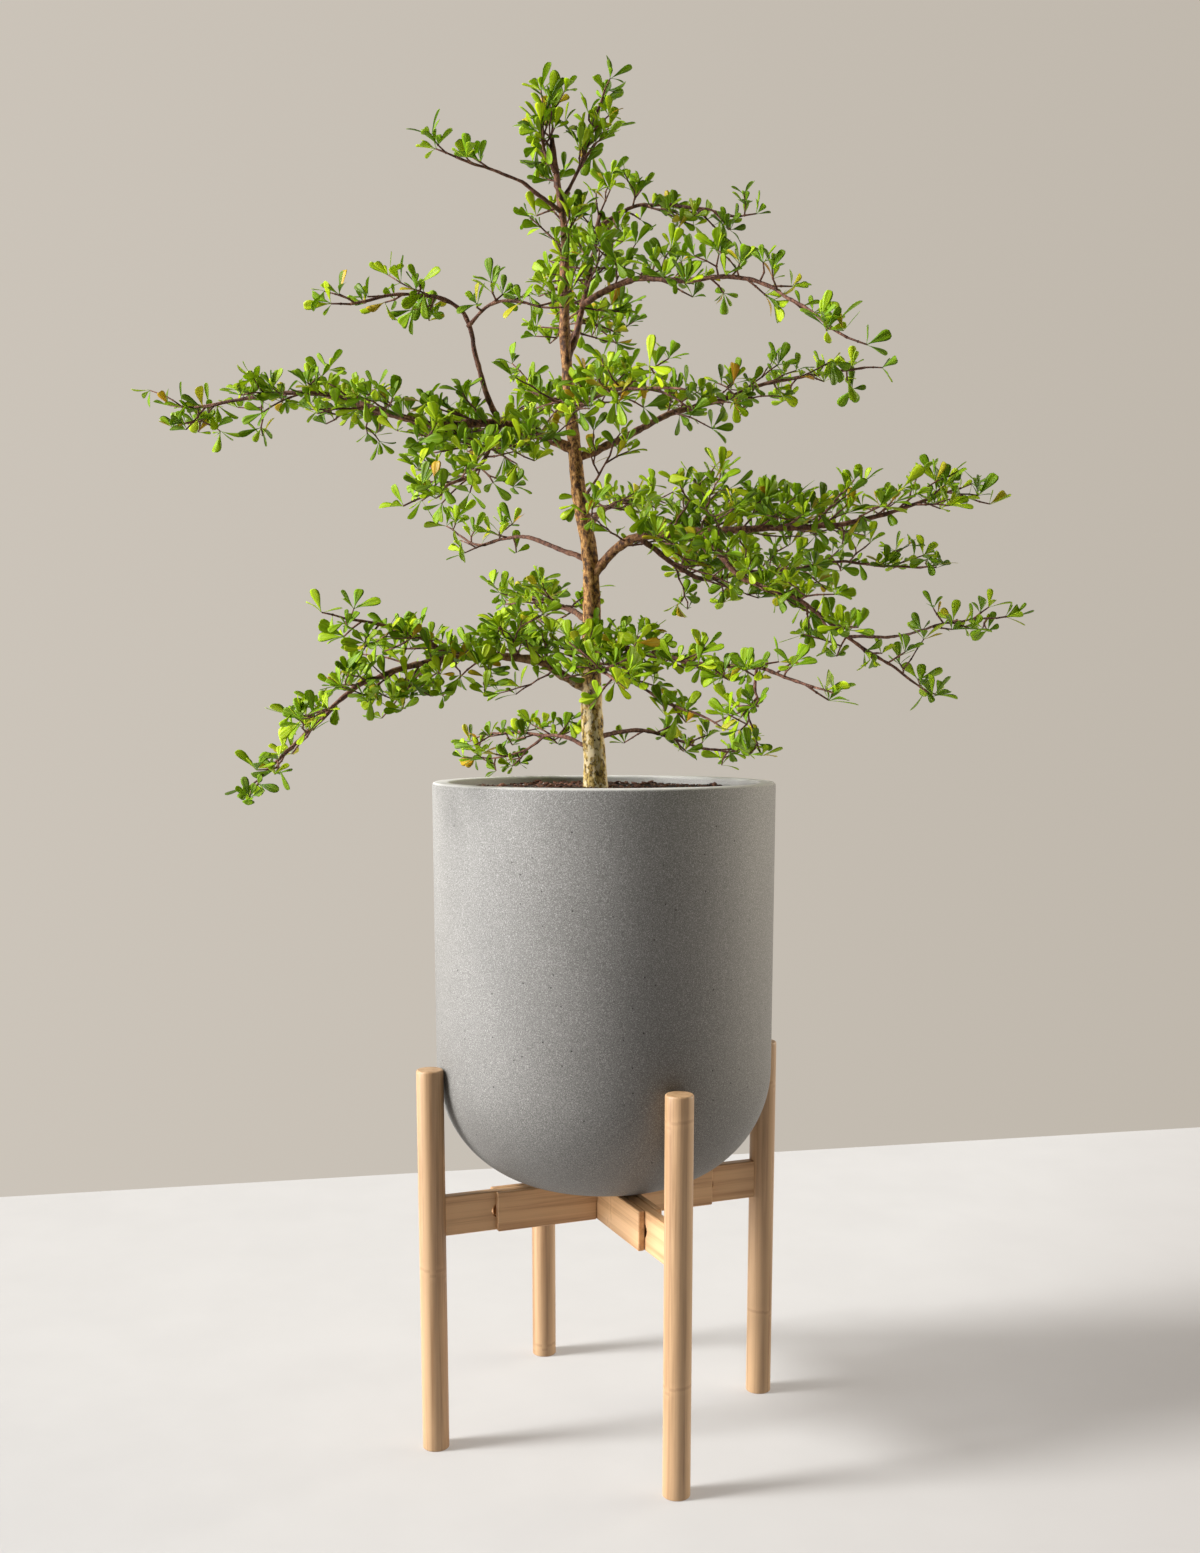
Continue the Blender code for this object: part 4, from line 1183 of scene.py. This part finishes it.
def icosahedron_faces(corners):
    """The 20 faces of an icosahedron, found as its triples of nearest corners, facing out."""
    gaps = np.linalg.norm(corners[:, None] - corners[None], axis=2)
    side = np.sort(gaps[0])[1] * 1.01
    faces = []
    for a in range(12):
        for b in range(a + 1, 12):
            for c in range(b + 1, 12):
                if max(gaps[a, b], gaps[b, c], gaps[a, c]) < side:
                    out = np.cross(corners[b] - corners[a], corners[c] - corners[a]) @ corners[a] > 0
                    faces.append((a, b, c) if out else (a, c, b))
    return faces


# --- Stand ---

LEG_RADIUS = 12.0 * MM
LEG_HEIGHT = 352.0 * MM
LEG_TOP_ROUND = 2.0 * MM
LEG_FOOT_ROUND = 1.0 * MM
LEG_SIDES = 56
LEG_CENTRE = POT_RADIUS + LEG_RADIUS + 0.5 * MM
LEG_QUARTERS = {"right": 0, "back": 1, "left": 2, "front": 3}


def make_leg(word, quarter, material):
    """A round bamboo leg with softened ends, turned a little differently from its neighbours."""
    foot, top = LEG_FOOT_ROUND, LEG_TOP_ROUND
    profile = [(0, 0)]
    profile += arc(LEG_RADIUS - foot, foot, foot, -90, 0, 3)
    profile += [(LEG_RADIUS, z) for z in np.linspace(20 * MM, LEG_HEIGHT - 10 * MM, 24)]
    profile += arc(LEG_RADIUS - top, LEG_HEIGHT - top, top, 0, 90, 5)
    profile += [(0, LEG_HEIGHT)]
    leg = turned(f"bamboo_leg_{word}", profile, LEG_SIDES, material, False)
    leg.data.set_sharp_from_angle(angle=math.radians(40))
    heading = TURN + quarter * math.pi / 2
    leg.location = (LEG_CENTRE * math.cos(heading), LEG_CENTRE * math.sin(heading), 0)
    leg.rotation_euler = (0, 0, heading + 0.4 + quarter * 1.1)
    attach(leg, f"slide_leg_{word}")
    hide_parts(f"leg_{word}")


def finish_cad_node(name, material):
    """Give a CAD node that shows as it is its own procedural material."""
    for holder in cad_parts[name].material_slots:
        holder.material = material


def make_stand():
    """The four legs, and the grain on the arms, plates and dowels that the CAD shows."""
    left_right = bamboo_bar_material("bamboo_left_right_grain", TURN, 0.18)
    front_back = bamboo_bar_material("bamboo_front_back_grain", TURN - math.pi / 2, 0.30)
    for word, quarter in LEG_QUARTERS.items():
        make_leg(word, quarter, bamboo_leg_material(word, 0.13 + 0.31 * quarter))
        finish_cad_node(f"arm_{word}", left_right if quarter % 2 == 0 else front_back)
    for bar, material in (("bar_left_right", left_right), ("bar_front_back", front_back)):
        for part in ("plate_near", "plate_far", "dowel_a", "dowel_b"):
            finish_cad_node(f"{bar}_{part}", material)


# --- Assembly ---


def main():
    bpy.context.scene.view_settings.view_transform = "Standard"
    make_camera()
    make_world()
    for name, settings in SUNS.items():
        make_sun(name, *settings)
    make_floor(floor_material())
    make_tree(bark_material(), leaf_material())
    make_pot(stoneware_material())
    make_soil(soil_material(), chip_material())
    make_stand()
    finish_cad_node("drain_plug", rubber_material())


main()
